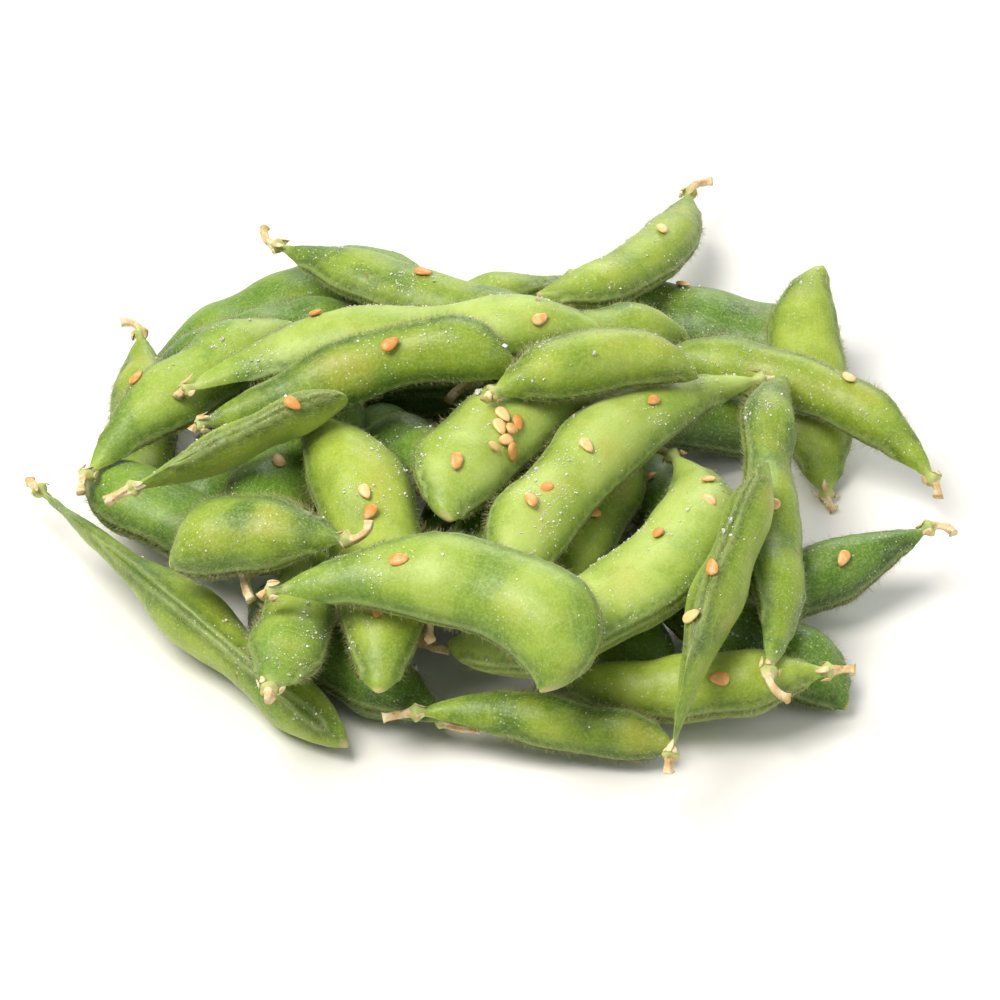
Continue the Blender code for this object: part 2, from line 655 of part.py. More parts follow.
def main():
    """Clear the scene and build the heap."""
    for old in list(bpy.data.objects):
        bpy.data.objects.remove(old)
    collection = bpy.data.collections.new("edamame_pod_bundle")
    bpy.context.scene.collection.children.link(collection)
    place, turn = settle(LAYOUT)
    meshes = [pod_mesh(pod, spot, way) for pod, spot, way in zip(LAYOUT, place, turn)]
    place[:, 2] -= lower(meshes)
    pieces = [add_object(pod.name, mesh, pod.tint, collection) for pod, mesh in zip(LAYOUT, meshes)]
    for number, seed in enumerate(SEEDS, 1):
        pod = LAYOUT[seed.pod - 1]
        centre, frame = seed_spot(seed, pod, place[seed.pod - 1], turn[seed.pod - 1])
        mesh = seated(seed_mesh(centre, frame), frame[:, 2], pieces[seed.pod - 1])
        pieces.append(add_object(f"sesame_{number:02d}", mesh, "sesame", collection))
    centre_on_origin(pieces)


if __name__ == "__main__":
    main()
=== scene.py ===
"""Looks of a heap of cooked edamame pods: skins, dried calyxes, down, toasted sesame seeds and salt.

Every packed pod is replaced by a fine skin worked out from the same shape rules, laid exactly where its
solid lies. Lengths inside the shape rules are in millimetres; meshes are made in metres.
"""

import json
import logging
import math
from dataclasses import dataclass, field
from enum import Enum
from functools import cached_property
from typing import Any

import bpy
import numpy as np
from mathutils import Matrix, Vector


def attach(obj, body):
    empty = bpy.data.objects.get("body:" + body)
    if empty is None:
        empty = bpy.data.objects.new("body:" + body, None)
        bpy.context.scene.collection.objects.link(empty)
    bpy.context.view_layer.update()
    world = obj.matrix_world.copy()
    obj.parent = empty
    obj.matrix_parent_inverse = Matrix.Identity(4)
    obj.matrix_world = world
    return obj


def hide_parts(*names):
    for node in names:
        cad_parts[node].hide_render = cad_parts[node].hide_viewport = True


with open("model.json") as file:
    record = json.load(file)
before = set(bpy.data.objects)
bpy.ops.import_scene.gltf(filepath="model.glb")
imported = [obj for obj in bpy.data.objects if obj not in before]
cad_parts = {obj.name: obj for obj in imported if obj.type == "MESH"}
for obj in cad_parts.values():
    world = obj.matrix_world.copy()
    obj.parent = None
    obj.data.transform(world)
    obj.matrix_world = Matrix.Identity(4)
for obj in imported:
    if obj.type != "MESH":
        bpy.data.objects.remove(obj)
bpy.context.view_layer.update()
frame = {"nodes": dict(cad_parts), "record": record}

Array = np.ndarray
LOG = logging.getLogger("edamame")
MM = 0.001
BODY = "root"

# Sizes shared by all pods, in millimetres, and the share of the bean side's waves at the other seam
STALK_RADIUS = 0.7
STALK_END_RADIUS = 0.9
CALYX_RADIUS = 1.35
CALYX_REACH = 1.8
BEAK_RADIUS = 0.7
SEAM_RIDGE = 0.4
STRAIGHT_WAVE = 0.4

# Mesh of a pod's solid: sides, shares of its rings on the stalk and on the body
SOLID_SIDES = 10
SOLID_STALK = (-0.96, -0.55, -0.12)
SOLID_BODY = (0.008,) + tuple(0.055 + 0.085 * k for k in range(11)) + (0.968,)

# A pod whose solid's corners lie farther than this from its formula's, in millimetres, is reported
LOOSE_FIT = 0.05


def smooth(x: Array | float) -> Array:
    """Soft step: 0 below 0, 1 above 1, 3x^2 - 2x^3 between.

    Args:
        x: Values to ease.

    Returns:
        Eased values from 0 to 1.
    """
    x = np.clip(x, 0.0, 1.0)
    return x * x * (3.0 - 2.0 * x)


def unit(vectors: Array) -> Array:
    """Vectors divided by their lengths.

    Args:
        vectors: Any array whose last axis holds x, y and z.

    Returns:
        The same directions with length 1.
    """
    return vectors / np.maximum(np.linalg.norm(vectors, axis=-1, keepdims=True), 1e-12)


def lattice_noise(points: Array, size: float, seed: int) -> Array:
    """Smooth noise: random values on the corners of cubes, blended across each cube by a soft step.

    Args:
        points: Points (..., 3) in millimetres.
        size: Edge of a cube in millimetres.
        seed: Picks one of many unlike noises.

    Returns:
        Values from -1 to 1, one a point.
    """
    cell = np.floor(points / size)
    blend = smooth(points / size - cell)
    cell = cell.astype(np.int64)
    total = np.zeros(points.shape[:-1])
    for corner in np.ndindex(2, 2, 2):
        key = (cell + np.array(corner)) * np.array([73856093, 19349663, 83492791])
        mixed = key[..., 0] ^ key[..., 1] ^ key[..., 2] ^ (seed * 2654435761)
        mixed = ((mixed ^ (mixed >> 13)) * 1274126177) & 0xFFFFFF
        share = np.where(np.array(corner) == 1, blend, 1.0 - blend).prod(axis=-1)
        total += share * (mixed / float(0x7FFFFF) - 1.0)
    return total


def linear(code: str) -> tuple[float, float, float, float]:
    """Turn an sRGB hex colour into linear light.

    Args:
        code: Six hex digits, with or without a leading hash.

    Returns:
        Red, green, blue and an alpha of 1.
    """
    parts = [int(code.lstrip("#")[k : k + 2], 16) / 255.0 for k in (0, 2, 4)]
    red, green, blue = (p / 12.92 if p <= 0.04045 else ((p + 0.055) / 1.055) ** 2.4 for p in parts)
    return red, green, blue, 1.0


def add_node(
    tree: bpy.types.NodeTree, kind: str, inputs: dict[Any, Any] | None = None, **settings: Any
) -> Any:
    """Add a node, set its properties, and set or link its inputs.

    Args:
        tree: Tree that takes the node.
        kind: The node's type name without its ShaderNode prefix.
        inputs: Input names or indices with a value each, or an output socket to link from.
        **settings: Properties of the node.

    Returns:
        The new node.
    """
    node = tree.nodes.new("ShaderNode" + kind)
    for key, value in settings.items():
        setattr(node, key, value)
    for key, value in (inputs or {}).items():
        if isinstance(value, bpy.types.NodeSocket):
            tree.links.new(value, node.inputs[key])
        else:
            node.inputs[key].default_value = value
    return node


class Recipe:
    """A material in the making: its tree, its Principled shader, and short ways to add nodes.

    A value is a number or an output socket to link from, and a colour may also be an sRGB hex code.
    """

    def __init__(self, name: str) -> None:
        """Start a node material.

        Args:
            name: The material's name.
        """
        self.material = bpy.data.materials.new(name)
        self.material.use_nodes = True
        self.tree = self.material.node_tree
        self.shader = self.tree.nodes["Principled BSDF"]

    @cached_property
    def where(self) -> Any:
        """Socket with the object's coordinates in metres."""
        return add_node(self.tree, "TexCoord").outputs["Object"]

    def field(self, name: str) -> Any:
        """Socket with a named value of the mesh."""
        return add_node(self.tree, "Attribute", attribute_name=name).outputs["Fac"]

    def drawn(self, squeeze: float, slant: float, across: bool) -> Any:
        """Skin coordinates that draw a pattern out.

        Args:
            squeeze: Scale of the drawn-out direction: at 0.1 a feature is ten times as long as wide.
            slant: Turn of the pattern in radians.
            across: True to draw it out from seam to seam, false along the pod.

        Returns:
            Socket with coordinates in metres.
        """
        scale = (1.0, squeeze, 1.0) if across else (squeeze, 1.0, 1.0)
        uv = add_node(self.tree, "UVMap", uv_map="skin").outputs[0]
        return add_node(self.tree, "Mapping", {0: uv, 3: scale, 2: (0.0, 0.0, slant)}).outputs[0]

    def mix(self, share: Any, first: Any, second: Any) -> Any:
        """Mix two colours.

        Args:
            share: How much of the second colour.
            first: Colour.
            second: Colour.

        Returns:
            The mixed colour's socket.
        """
        ends = [linear(colour) if isinstance(colour, str) else colour for colour in (first, second)]
        return add_node(self.tree, "Mix", {0: share, 6: ends[0], 7: ends[1]}, data_type="RGBA").outputs[2]

    def spread(self, value: Any, low: float, high: float, to: float = 1.0) -> Any:
        """Soft step of a value between two limits.

        Args:
            value: Socket to read.
            low: Value that gives 0.
            high: Value that gives the full result.
            to: The full result.

        Returns:
            The result's socket.
        """
        inputs = {0: value, 1: low, 2: high, 3: 0.0, 4: to}
        return add_node(self.tree, "MapRange", inputs, interpolation_type="SMOOTHSTEP").outputs[0]

    def join(self, first: Any, second: Any, how: str = "MULTIPLY") -> Any:
        """Join two values, by default as their product."""
        return add_node(self.tree, "Math", {0: first, 1: second}, operation=how).outputs[0]

    def noise(self, size_mm: float, detail: float = 2.0, rough: float = 0.5, where: Any = None) -> Any:
        """Noise whose features have a real size.

        Args:
            size_mm: Width of a feature in millimetres.
            detail: Number of finer layers.
            rough: Strength of the finer layers.
            where: Socket with coordinates in metres, or None for the object's.

        Returns:
            Socket with values round 0.5.
        """
        inputs = {"Vector": where or self.where, "Scale": 1.0 / (size_mm * MM)}
        inputs |= {"Detail": detail, "Roughness": rough}
        return add_node(self.tree, "TexNoise", inputs).outputs["Fac"]

    def finish(self, inputs: dict[str, Any], bump: tuple[Any, float, float] | None = None) -> Any:
        """Set or link the shader's inputs.

        Args:
            inputs: Names of the shader's inputs with a value or a colour each.
            bump: A bump's height socket, its strength and its depth in millimetres, or None.

        Returns:
            The finished material.
        """
        if bump is not None:
            height, strength, deep = bump
            rough = {"Height": height, "Strength": strength, "Distance": deep * MM}
            inputs = inputs | {"Normal": add_node(self.tree, "Bump", rough).outputs[0]}
        for key, value in inputs.items():
            if isinstance(value, bpy.types.NodeSocket):
                self.tree.links.new(value, self.shader.inputs[key])
            else:
                self.shader.inputs[key].default_value = linear(value) if isinstance(value, str) else value
        return self.material


class Tint(Enum):
    """How green a pod's skin is: its colours from shade to light, its yellow patches, and the dark green at
    its seams that also serves as painted shade along the pod's sides.
    """

    DEEP = ("deep", "#30500A", "#50760A", "#6F8F1E", "#818626", "#294209")
    LEAF = ("leaf", "#4E6E10", "#7C941C", "#9CAE38", "#A9A038", "#395412")
    LIGHT = ("light", "#6A8A20", "#8CA434", "#A9BC5A", "#B1A846", "#415E1A")

    def __init__(self, slot: str, shade: str, body: str, lit: str, ripe: str, dark_seam_and_shade: str) -> None:
        """Name the parts of one choice."""
        self.slot = slot
        self.shade = shade
        self.body = body
        self.lit = lit
        self.ripe = ripe
        self.dark_seam_and_shade = dark_seam_and_shade


@dataclass(frozen=True)
class PodSkinFinish:
    """Blanched soybean pod skin, grown and boiled: moist satin green with light passing a little way in.

    Broad soft patches of green and ripe yellow, faint pale fibres along the pod and veins from seam to
    seam, a dark line and dark flanks at the seams that are partly the seam's own green and partly painted
    shade where the sides turn away from the light, a few brown scars and a dust of salt. Plant tissue has
    an IOR near 1.4.
    """

    tint: Tint
    roughness: float = 0.42
    patch_mm: float = 9.0
    ripe_mm: float = 13.0
    stipple_mm: float = 0.42
    mottle_mm: float = 1.1
    scar_mm: float = 5.0
    fibre_mm: float = 0.35
    vein_mm: float = 0.55
    pore_mm: float = 0.5
    rib_mm: float = 1.1
    uneven_mm: float = 2.2
    dust_mm: float = 0.9
    dust_patch_mm: float = 11.0

    def make(self) -> bpy.types.Material:
        """Build the material.

        Returns:
            The material, which reads the skin's attributes.
        """
        skin = Recipe(f"blanched pod skin, {self.tint.slot}")
        read = {name: skin.field(name) for name in SKIN_FIELDS}
        tone = skin.join(skin.noise(self.patch_mm, 3.0, 0.55), read["tone"], "ADD")
        tone = skin.join(tone, skin.join(read["bean"], 0.16), "ADD")
        green = skin.mix(skin.spread(tone, 0.31, 0.55), self.tint.shade, self.tint.body)
        green = skin.mix(skin.spread(tone, 0.52, 0.84), green, self.tint.lit)
        ripe = skin.spread(skin.noise(self.ripe_mm), 0.50, 0.72, 0.6)
        green = skin.mix(skin.join(ripe, read["bean"]), green, self.tint.ripe)
        green = self.fibres(skin, green)
        mottle = skin.spread(skin.noise(self.mottle_mm, 3.0, 0.65), 0.28, 0.60)
        # Dark flanks beside the seams: partly the seam's own green, partly painted shade where the pod's
        # sides turn away from the light
        dark_seam_and_shade = skin.join(read["edge"], skin.join(mottle, 0.55, "MAXIMUM"))
        stipple = skin.spread(skin.noise(self.stipple_mm, 3.0, 0.7), 0.42, 0.66, 0.22)
        scar = skin.spread(skin.noise(self.scar_mm, 5.0, 0.62), 0.69, 0.75, 0.8)
        neck = skin.spread(read["share"], 0.075, 0.0, 0.75)
        tip = skin.spread(read["share"], 0.985, 1.0, 0.75)
        for share, colour in (
            (stipple, "#C2D58E"),
            # Dark flanks and the dark line in the seam groove: partly the seam's own green, partly painted
            # shade on the sides and in the groove
            (skin.join(dark_seam_and_shade, 0.72), self.tint.dark_seam_and_shade),
            (skin.join(read["lip"], 0.35), "#A9B878"),
            (skin.join(read["seam"], 0.7), self.tint.dark_seam_and_shade),
            (scar, "#7A4B22"),
            (neck, "#B9C07A"),
            (tip, "#C9B483"),
            (self.dust(skin), "#E3E9CF"),
        ):
            green = skin.mix(share, green, colour)
        uneven = skin.spread(skin.noise(self.uneven_mm, 4.0, 0.6), 0.25, 0.75, 0.2)
        inputs = {"Base Color": green, "Roughness": skin.join(uneven, self.roughness - 0.08, "ADD")}
        inputs |= {"IOR": 1.42, "Subsurface Weight": 0.22, "Subsurface Radius": (0.7, 1.0, 0.25)}
        inputs |= {"Subsurface Scale": 1.3 * MM, "Sheen Weight": 0.18, "Sheen Roughness": 0.45}
        inputs |= {"Sheen Tint": "#E9F0C8"}
        return skin.finish(inputs, (self.relief(skin), 0.55, 0.09))

    def fibres(self, skin: Recipe, colour: Any) -> Any:
        """Pale fibres along the pod, from noise drawn out twelve times along its length, and slanting
        veins from seam to seam, drawn out about eight times across.

        Args:
            skin: The material in the making.
            colour: Socket with the green so far.

        Returns:
            Socket with the streaked green.
        """
        streak = skin.noise(self.fibre_mm, 3.0, 0.6, skin.drawn(1.0 / 12.0, 0.35, across=False))
        colour = skin.mix(skin.spread(streak, 0.50, 0.78, 0.16), colour, "#C3D890")
        vein = skin.noise(self.vein_mm, 2.0, 0.5, skin.drawn(0.12, -0.45, across=True))
        return skin.mix(skin.spread(vein, 0.56, 0.72, 0.22), colour, self.tint.lit)

    def dust(self, skin: Recipe) -> Any:
        """Salt dust finer than the modelled grains: dots 0.1 mm across, thick in a few places.

        Args:
            skin: The material in the making.

        Returns:
            Socket with the dust's share.
        """
        inputs = {"Vector": skin.where, "Scale": 1.0 / (self.dust_mm * MM)}
        dots = skin.spread(add_node(skin.tree, "TexVoronoi", inputs).outputs["Distance"], 0.19, 0.09)
        return skin.join(dots, skin.spread(skin.noise(self.dust_patch_mm), 0.48, 0.66, 0.75))

    def relief(self, skin: Recipe) -> Any:
        """Pores, fine wrinkles and cross ribs for a bump under a tenth of a millimetre deep.

        Args:
            skin: The material in the making.

        Returns:
            Socket with the height.
        """
        ribs = skin.noise(self.rib_mm, 2.0, 0.5, skin.drawn(0.22, 0.5, across=True))
        return skin.join(skin.noise(self.pore_mm, 4.0, 0.65), ribs, "ADD")


@dataclass(frozen=True)
class DriedCalyxFinish:
    """Dried calyx and cut stalk: papery, matt, cream and tan with brown where it is torn."""

    roughness: float = 0.78

    def make(self) -> bpy.types.Material:
        """Build the material.

        Returns:
            The material, which reads the attribute dry: how brown a place is.
        """
        paper = Recipe("dried calyx and stalk")
        dry = paper.field("dry")
        colour = paper.mix(paper.spread(paper.noise(1.6, 4.0, 0.6), 0.35, 0.65), "#C6A46C", "#ECDCB4")
        colour = paper.mix(paper.spread(dry, 0.55, 0.0, 0.8), colour, "#A9B765")
        brown = paper.spread(paper.noise(0.8, 4.0, 0.65), 0.52, 0.72)
        colour = paper.mix(paper.join(brown, paper.spread(dry, 0.5, 1.0, 0.9)), colour, "#8A4F2A")
        inputs = {"Base Color": colour, "Roughness": self.roughness, "Subsurface Weight": 0.12}
        inputs |= {"Subsurface Radius": (1.0, 0.7, 0.35), "Subsurface Scale": 0.6 * MM}
        return paper.finish(inputs, (paper.noise(0.3, 5.0, 0.7), 0.9, 0.12))


@dataclass(frozen=True)
class DownFinish:
    """Down of a soybean pod: hollow hairs, straw white on the faces and tawny along the seams."""

    roughness: float = 0.55

    def make(self) -> bpy.types.Material:
        """Build the material.

        Returns:
            The material, which reads the attribute tawny.
        """
        hair = Recipe("pod down")
        colour = hair.mix(hair.field("tawny"), "#D3DBA0", "#A8965C")
        inputs = {"Base Color": colour, "Roughness": self.roughness, "Transmission Weight": 0.25}
        return hair.finish(inputs)


@dataclass(frozen=True)
class SeedCoatFinish:
    """Toasted sesame seed coat: satin, honey to amber, darker at the pointed end."""

    roughness: float = 0.38

    def make(self) -> bpy.types.Material:
        """Build the material.

        Returns:
            The material, which reads the attributes point and toast.
        """
        coat = Recipe("toasted sesame seed coat")
        uneven = coat.join(coat.noise(0.9, 3.0), coat.field("toast"), "ADD")
        colour = coat.mix(coat.spread(uneven, 0.45, 1.15), "#E9C486", "#D08B40")
        colour = coat.mix(coat.join(coat.field("point"), 0.6), colour, "#A5652E")
        inputs = {"Base Color": colour, "Roughness": self.roughness, "Subsurface Weight": 0.15}
        inputs |= {"Subsurface Radius": (1.0, 0.6, 0.3), "Subsurface Scale": 0.5 * MM}
        return coat.finish(inputs, (coat.noise(0.22, 3.0, 0.6), 0.5, 0.05))


@dataclass(frozen=True)
class SaltFinish:
    """Sea salt, crystallised and crushed: clear with frosted breaks. Halite has an IOR of 1.54."""

    name: str
    clear: float
    roughness: float
    colour: str = "#F6F3EE"

    def make(self) -> bpy.types.Material:
        """Build the material.

        Returns:
            The material.
        """
        salt = Recipe(self.name)
        colour = salt.mix(salt.spread(salt.noise(0.7, 3.0), 0.3, 0.7), self.colour, "#E4DDE0")
        inputs = {"Base Color": colour, "Roughness": self.roughness, "IOR": 1.54}
        return salt.finish(inputs | {"Transmission Weight": self.clear})


SKIN_FIELDS = ("share", "seam", "lip", "edge", "bean", "tone")


@dataclass(frozen=True)
class Placement:
    """A rigid placement: a rotation and then a shift, in millimetres."""

    turn: Array
    shift: Array

    def apply(self, points: Array) -> Array:
        """Points moved from a pod's own frame to where it lies."""
        return points @ self.turn.T + self.shift


def node_corners(name: str) -> Array:
    """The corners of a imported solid, each once.

    Args:
        name: The solid's node.

    Returns:
        Points (n, 3) in millimetres.
    """
    data = frame["nodes"][name].data
    points = np.empty(len(data.vertices) * 3, np.float32)
    data.vertices.foreach_get("co", points)
    return np.unique(np.round(points.reshape(-1, 3).astype(float) / MM, 3), axis=0)


def principal_axes(points: Array) -> Array:
    """Axes of a point cloud as columns, longest first, right-handed."""
    _, _, rows = np.linalg.svd(points - points.mean(axis=0), full_matrices=False)
    rows[2] = np.cross(rows[0], rows[1])
    return rows.T


def best_turn(model: Array, found: Array) -> Placement:
    """The rigid placement that takes paired points closest to each other, by singular values.

    Args:
        model: Points (n, 3).
        found: Their partners (n, 3).

    Returns:
        The placement of least squares.
    """
    here, there = model.mean(axis=0), found.mean(axis=0)
    u, _, v = np.linalg.svd((model - here).T @ (found - there))
    flip = np.diag([1.0, 1.0, np.sign(np.linalg.det(u @ v))])
    turn = (u @ flip @ v).T
    return Placement(turn, there - turn @ here)


def match(model: Array, found: Array, start: Placement, rounds: int) -> tuple[Placement, float]:
    """Improve a placement by pairing nearest points again and again.

    Args:
        model: Points in their own frame.
        found: Points where the solid lies.
        start: First guess.
        rounds: How many times to pair.

    Returns:
        The placement, and the middle distance that is left in millimetres.
    """
    place, left = start, 1e9
    for _ in range(rounds):
        moved = place.apply(model)
        square = (moved**2).sum(1)[:, None] + (found**2).sum(1)[None] - 2.0 * moved @ found.T
        nearest = square.argmin(axis=1)
        distance = np.sqrt(np.maximum(square[np.arange(len(model)), nearest], 0.0))
        left = float(np.median(distance))
        keep = distance <= max(2.5 * left, 0.02)
        place = best_turn(model[keep], found[nearest[keep]])
    return place, left


def lay_on(model: Array, found: Array) -> tuple[Placement, float]:
    """Find where a solid lies: its formula's corners are laid on the corners found in the frame.

    The long axes are lined up both ways round and at twelve rolls. The best start is improved to the end.

    Args:
        model: The formula's corners in the pod's own frame.
        found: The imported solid's corners.

    Returns:
        The placement, and the middle distance that is left in millimetres.
    """
    own, there = principal_axes(model), principal_axes(found)
    middle, centre = model.mean(axis=0), found.mean(axis=0)
    best: tuple[Placement, float] | None = None
    for way in (1.0, -1.0):
        for roll in np.radians(np.arange(0.0, 360.0, 30.0)):
            c, s = math.cos(roll), math.sin(roll)
            about = np.array([[way, 0.0, 0.0], [0.0, c, -s * way], [0.0, s, c * way]])
            turn = there @ about @ own.T
            tried = match(model, found, Placement(turn, centre - turn @ middle), 6)
            if best is None or tried[1] < best[1]:
                best = tried
    return match(model, found, best[0], 25)


def skin_faces(rings: int, sides: int, mirrored: bool) -> tuple[list[Any], Array]:
    """Faces of a closed tube: quads between rings and a fan at each pole.

    The points are numbered ring by ring, with the first pole and then the last pole at the end.

    Args:
        rings: Number of rings.
        sides: Points in a ring.
        mirrored: True where the shape was mirrored, so that its faces are turned round.

    Returns:
        The faces, and for every corner its ring and its side, counted on past the last side.
    """
    i, j = np.meshgrid(np.arange(rings - 1), np.arange(sides), indexing="ij")
    i, j = i.ravel(), j.ravel()
    row, next_row, beside = i * sides, (i + 1) * sides, (j + 1) % sides
    quads = np.stack([row + j, row + beside, next_row + beside, next_row + j], 1)
    k = np.arange(sides)
    base, first_pole, beside = (rings - 1) * sides, rings * sides, (k + 1) % sides
    near = np.stack([np.full(sides, first_pole), beside, k], 1)
    far = np.stack([np.full(sides, first_pole + 1), base + k, base + beside], 1)
    groups = [
        (quads, np.stack([i, i, i + 1, i + 1], 1), np.stack([j, j + 1, j + 1, j], 1)),
        (near, np.zeros((sides, 3)), np.stack([k + 0.5, k + 1.0, k], 1)),
        (far, np.full((sides, 3), rings - 1.0), np.stack([k + 0.5, k, k + 1.0], 1)),
    ]
    if mirrored:
        groups = [tuple(table[:, ::-1] for table in group) for group in groups]
    corners = [np.stack([ring.ravel(), side.ravel()], 1).astype(float) for _, ring, side in groups]
    return [face for made, _, _ in groups for face in made.tolist()], np.concatenate(corners)


def make_object(
    name: str,
    points: Array,
    faces: list[Any],
    materials: list[bpy.types.Material],
    fields: dict[str, Array] | None = None,
    soft: bool = True,
) -> bpy.types.Object:
    """Make a mesh object at the origin, with its place in its mesh.

    Args:
        name: The piece's name.
        points: Points (n, 3) in millimetres.
        faces: Faces as lists of point numbers.
        materials: The piece's materials in slot order.
        fields: Named values, one a point.
        soft: True to shade it smooth.

    Returns:
        The object.
    """
    data = bpy.data.meshes.new(name)
    data.from_pydata((points * MM).tolist(), [], faces)
    for material in materials:
        data.materials.append(material)
    for key, values in (fields or {}).items():
        layer = data.attributes.new(key, "FLOAT", "POINT")
        layer.data.foreach_set("value", np.asarray(values, np.float32).ravel())
    if soft:
        data.shade_smooth()
    data.update()
    piece = bpy.data.objects.new(name, data)
    bpy.context.scene.collection.objects.link(piece)
    return piece


def belong(piece: bpy.types.Object) -> None:
    """Let a piece ride on the one body."""
    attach(piece, BODY)


@dataclass(frozen=True)
class PodShape:
    """A pod's own shape, in millimetres and degrees, by the rules its solid was made with.

    length runs from calyx to beak, width between the seams, depth through the beans. bend turns the spine
    in the pod's plane, hook adds a turn that comes late, sway lets it snake, and twist winds the seams
    round it. The beans lie about the share middle. The pod widens over the share neck and narrows over the
    share taper, loses the share waist of its depth and wave of its width between beans, and its beak
    leans towards the straight seam.
    """

    length: float
    bend: float = 0.0
    beans: int = 3
    width: float = 15.0
    depth: float = 11.0
    hook: float = 0.0
    sway: float = 0.0
    twist: float = 0.0
    middle: float = 0.54
    neck: float = 0.35
    taper: float = 0.3
    waist: float = 0.32
    wave: float = 0.12
    lean: float = 0.6
    flip: int = 1
    stalk: float = 6.0
    stalk_bend: float = 40.0

    def swelling(self, s: Array) -> Array:
        """Nearness to the middle of a bean, a sum of bell curves along the pod.

        Args:
            s: Arc shares from calyx to beak.

        Returns:
            0 between beans to about 1 over a bean.
        """
        spacing = 0.26 if self.beans == 3 else 0.34
        centres = self.middle + spacing * (np.arange(self.beans) - (self.beans - 1) / 2)
        return np.exp(-(((s[:, None] - centres) / (0.42 * spacing)) ** 2)).sum(axis=1)

    def tail(self, s: Array) -> Array:
        """How wide the pod still is towards its beak: 1 down to 0, rounded off like an ellipse."""
        return (1.0 - np.clip((s - 1.0 + self.taper) / self.taper, 0.0, 1.0) ** 2.2) ** 0.6

    def half_sizes(self, s: Array) -> tuple[Array, Array, Array]:
        """Half widths towards each seam and half depth: a sine along the neck and a rounded tail, times
        swellings, and never less than stalk, calyx or beak.

        Args:
            s: Arc shares, below 0 on the stalk.

        Returns:
            Half width on the bean side, on the other side, and half depth.
        """
        body = np.sin(0.5 * math.pi * np.clip(s / self.neck, 0.0, 1.0)) ** 0.9 * self.tail(s)
        bean = self.swelling(s)
        calyx = CALYX_RADIUS * np.exp(-((s * self.length / CALYX_REACH) ** 2))
        beak = BEAK_RADIUS * smooth((1.0 - s) / 0.03) * (s > 0.9)
        stalk = STALK_RADIUS + (STALK_END_RADIUS - STALK_RADIUS) * s**2
        least = np.where(s < 0.0, stalk, np.maximum(calyx, beak))
        bulging = 0.5 * self.width * body * (1.0 - self.wave * (1.0 - bean))
        straight = 0.5 * self.width * body * (1.0 - STRAIGHT_WAVE * self.wave * (1.0 - bean))
        deep = 0.5 * self.depth * body * (1.0 - self.waist + self.waist * bean)
        return np.maximum(bulging, least), np.maximum(straight, least), np.maximum(deep, least)

    def spine(self, s: Array) -> tuple[Array, Array]:
        """Middle line: its direction turns evenly by bend, late by hook and to and fro by sway. The stalk
        turns on its own.

        Args:
            s: Arc shares, below 0 on the stalk.

        Returns:
            Points (n, 2) in the pod's plane and directions (n,) in radians.
        """
        fine = np.linspace(0.0, 1.0, 201)
        turn = np.radians(self.bend) * (0.5 - fine) + np.radians(self.hook) * (0.25 - fine**3)
        turn += np.radians(self.sway) * np.cos(2.0 * math.pi * fine)
        step = np.stack([np.cos(turn), np.sin(turn)], axis=1) * self.length / 200
        path = np.vstack([np.zeros(2), np.cumsum(0.5 * (step[1:] + step[:-1]), axis=0)])
        path -= 0.5 * (path[0] + path[-1])
        level = math.atan2(path[-1, 1] - path[0, 1], path[-1, 0] - path[0, 0])
        on_body, back = np.clip(s, 0.0, 1.0), np.clip(-s, 0.0, 1.0)
        curl = math.radians(self.stalk_bend)
        angle = np.interp(on_body, fine, turn) + curl * back
        centre = np.stack([np.interp(on_body, fine, path[:, k]) for k in range(2)], axis=1)
        reach = self.stalk * back * np.sinc(curl * back / (2.0 * math.pi))
        way = turn[0] + 0.5 * curl * back
        centre -= reach[:, None] * np.stack([np.cos(way), np.sin(way)], axis=1)
        shift = -0.5 * self.width * self.lean * (1.0 - self.tail(on_body))
        centre += shift[:, None] * np.stack([-np.sin(angle), np.cos(angle)], axis=1)
        c, n = math.cos(-level), math.sin(-level)
        return centre @ np.array([[c, n], [-n, c]]), angle - level

    def skin(self, s: Array, phi: Array) -> Array:
        """Plain skin: an ellipse with a low ridge at both seams, carried along the spine.

        Args:
            s: Arc shares (n,), below 0 on the stalk.
            phi: Angles round the section (m,), 0 at the seam on the bean side.

        Returns:
            Points (n, m, 3) in the pod's own frame.
        """
        centre, angle = self.spine(s)
        bulging, straight, deep = self.half_sizes(s)
        wind = np.radians(self.twist) * (s - 0.5)
        across = np.where(np.cos(phi) > 0, bulging[:, None], straight[:, None]) * np.cos(phi)
        ridge = SEAM_RIDGE * smooth(s / 0.1)[:, None] * np.sign(np.cos(phi)) * np.abs(np.cos(phi)) ** 24
        across = across + ridge * smooth((1.0 - s) / 0.05)[:, None]
        up = deep[:, None] * np.sin(phi)
        y = across * np.cos(wind)[:, None] - up * np.sin(wind)[:, None]
        z = across * np.sin(wind)[:, None] + up * np.cos(wind)[:, None]
        points = np.empty((len(s), len(phi), 3))
        points[..., 0] = centre[:, None, 0] - y * np.sin(angle)[:, None]
        points[..., 1] = (centre[:, None, 1] + y * np.cos(angle)[:, None]) * self.flip
        points[..., 2] = z
        return points

    def solid_corners(self) -> Array:
        """The corners of the pod's solid, ring by ring, and the middle of each end."""
        s = np.array((-1.0,) + SOLID_STALK + SOLID_BODY + (1.0,))
        rings = self.skin(s, 2.0 * math.pi * np.arange(SOLID_SIDES) / SOLID_SIDES)
        return np.concatenate([rings[1:-1].reshape(-1, 3), rings[[0, -1]].mean(axis=1)])


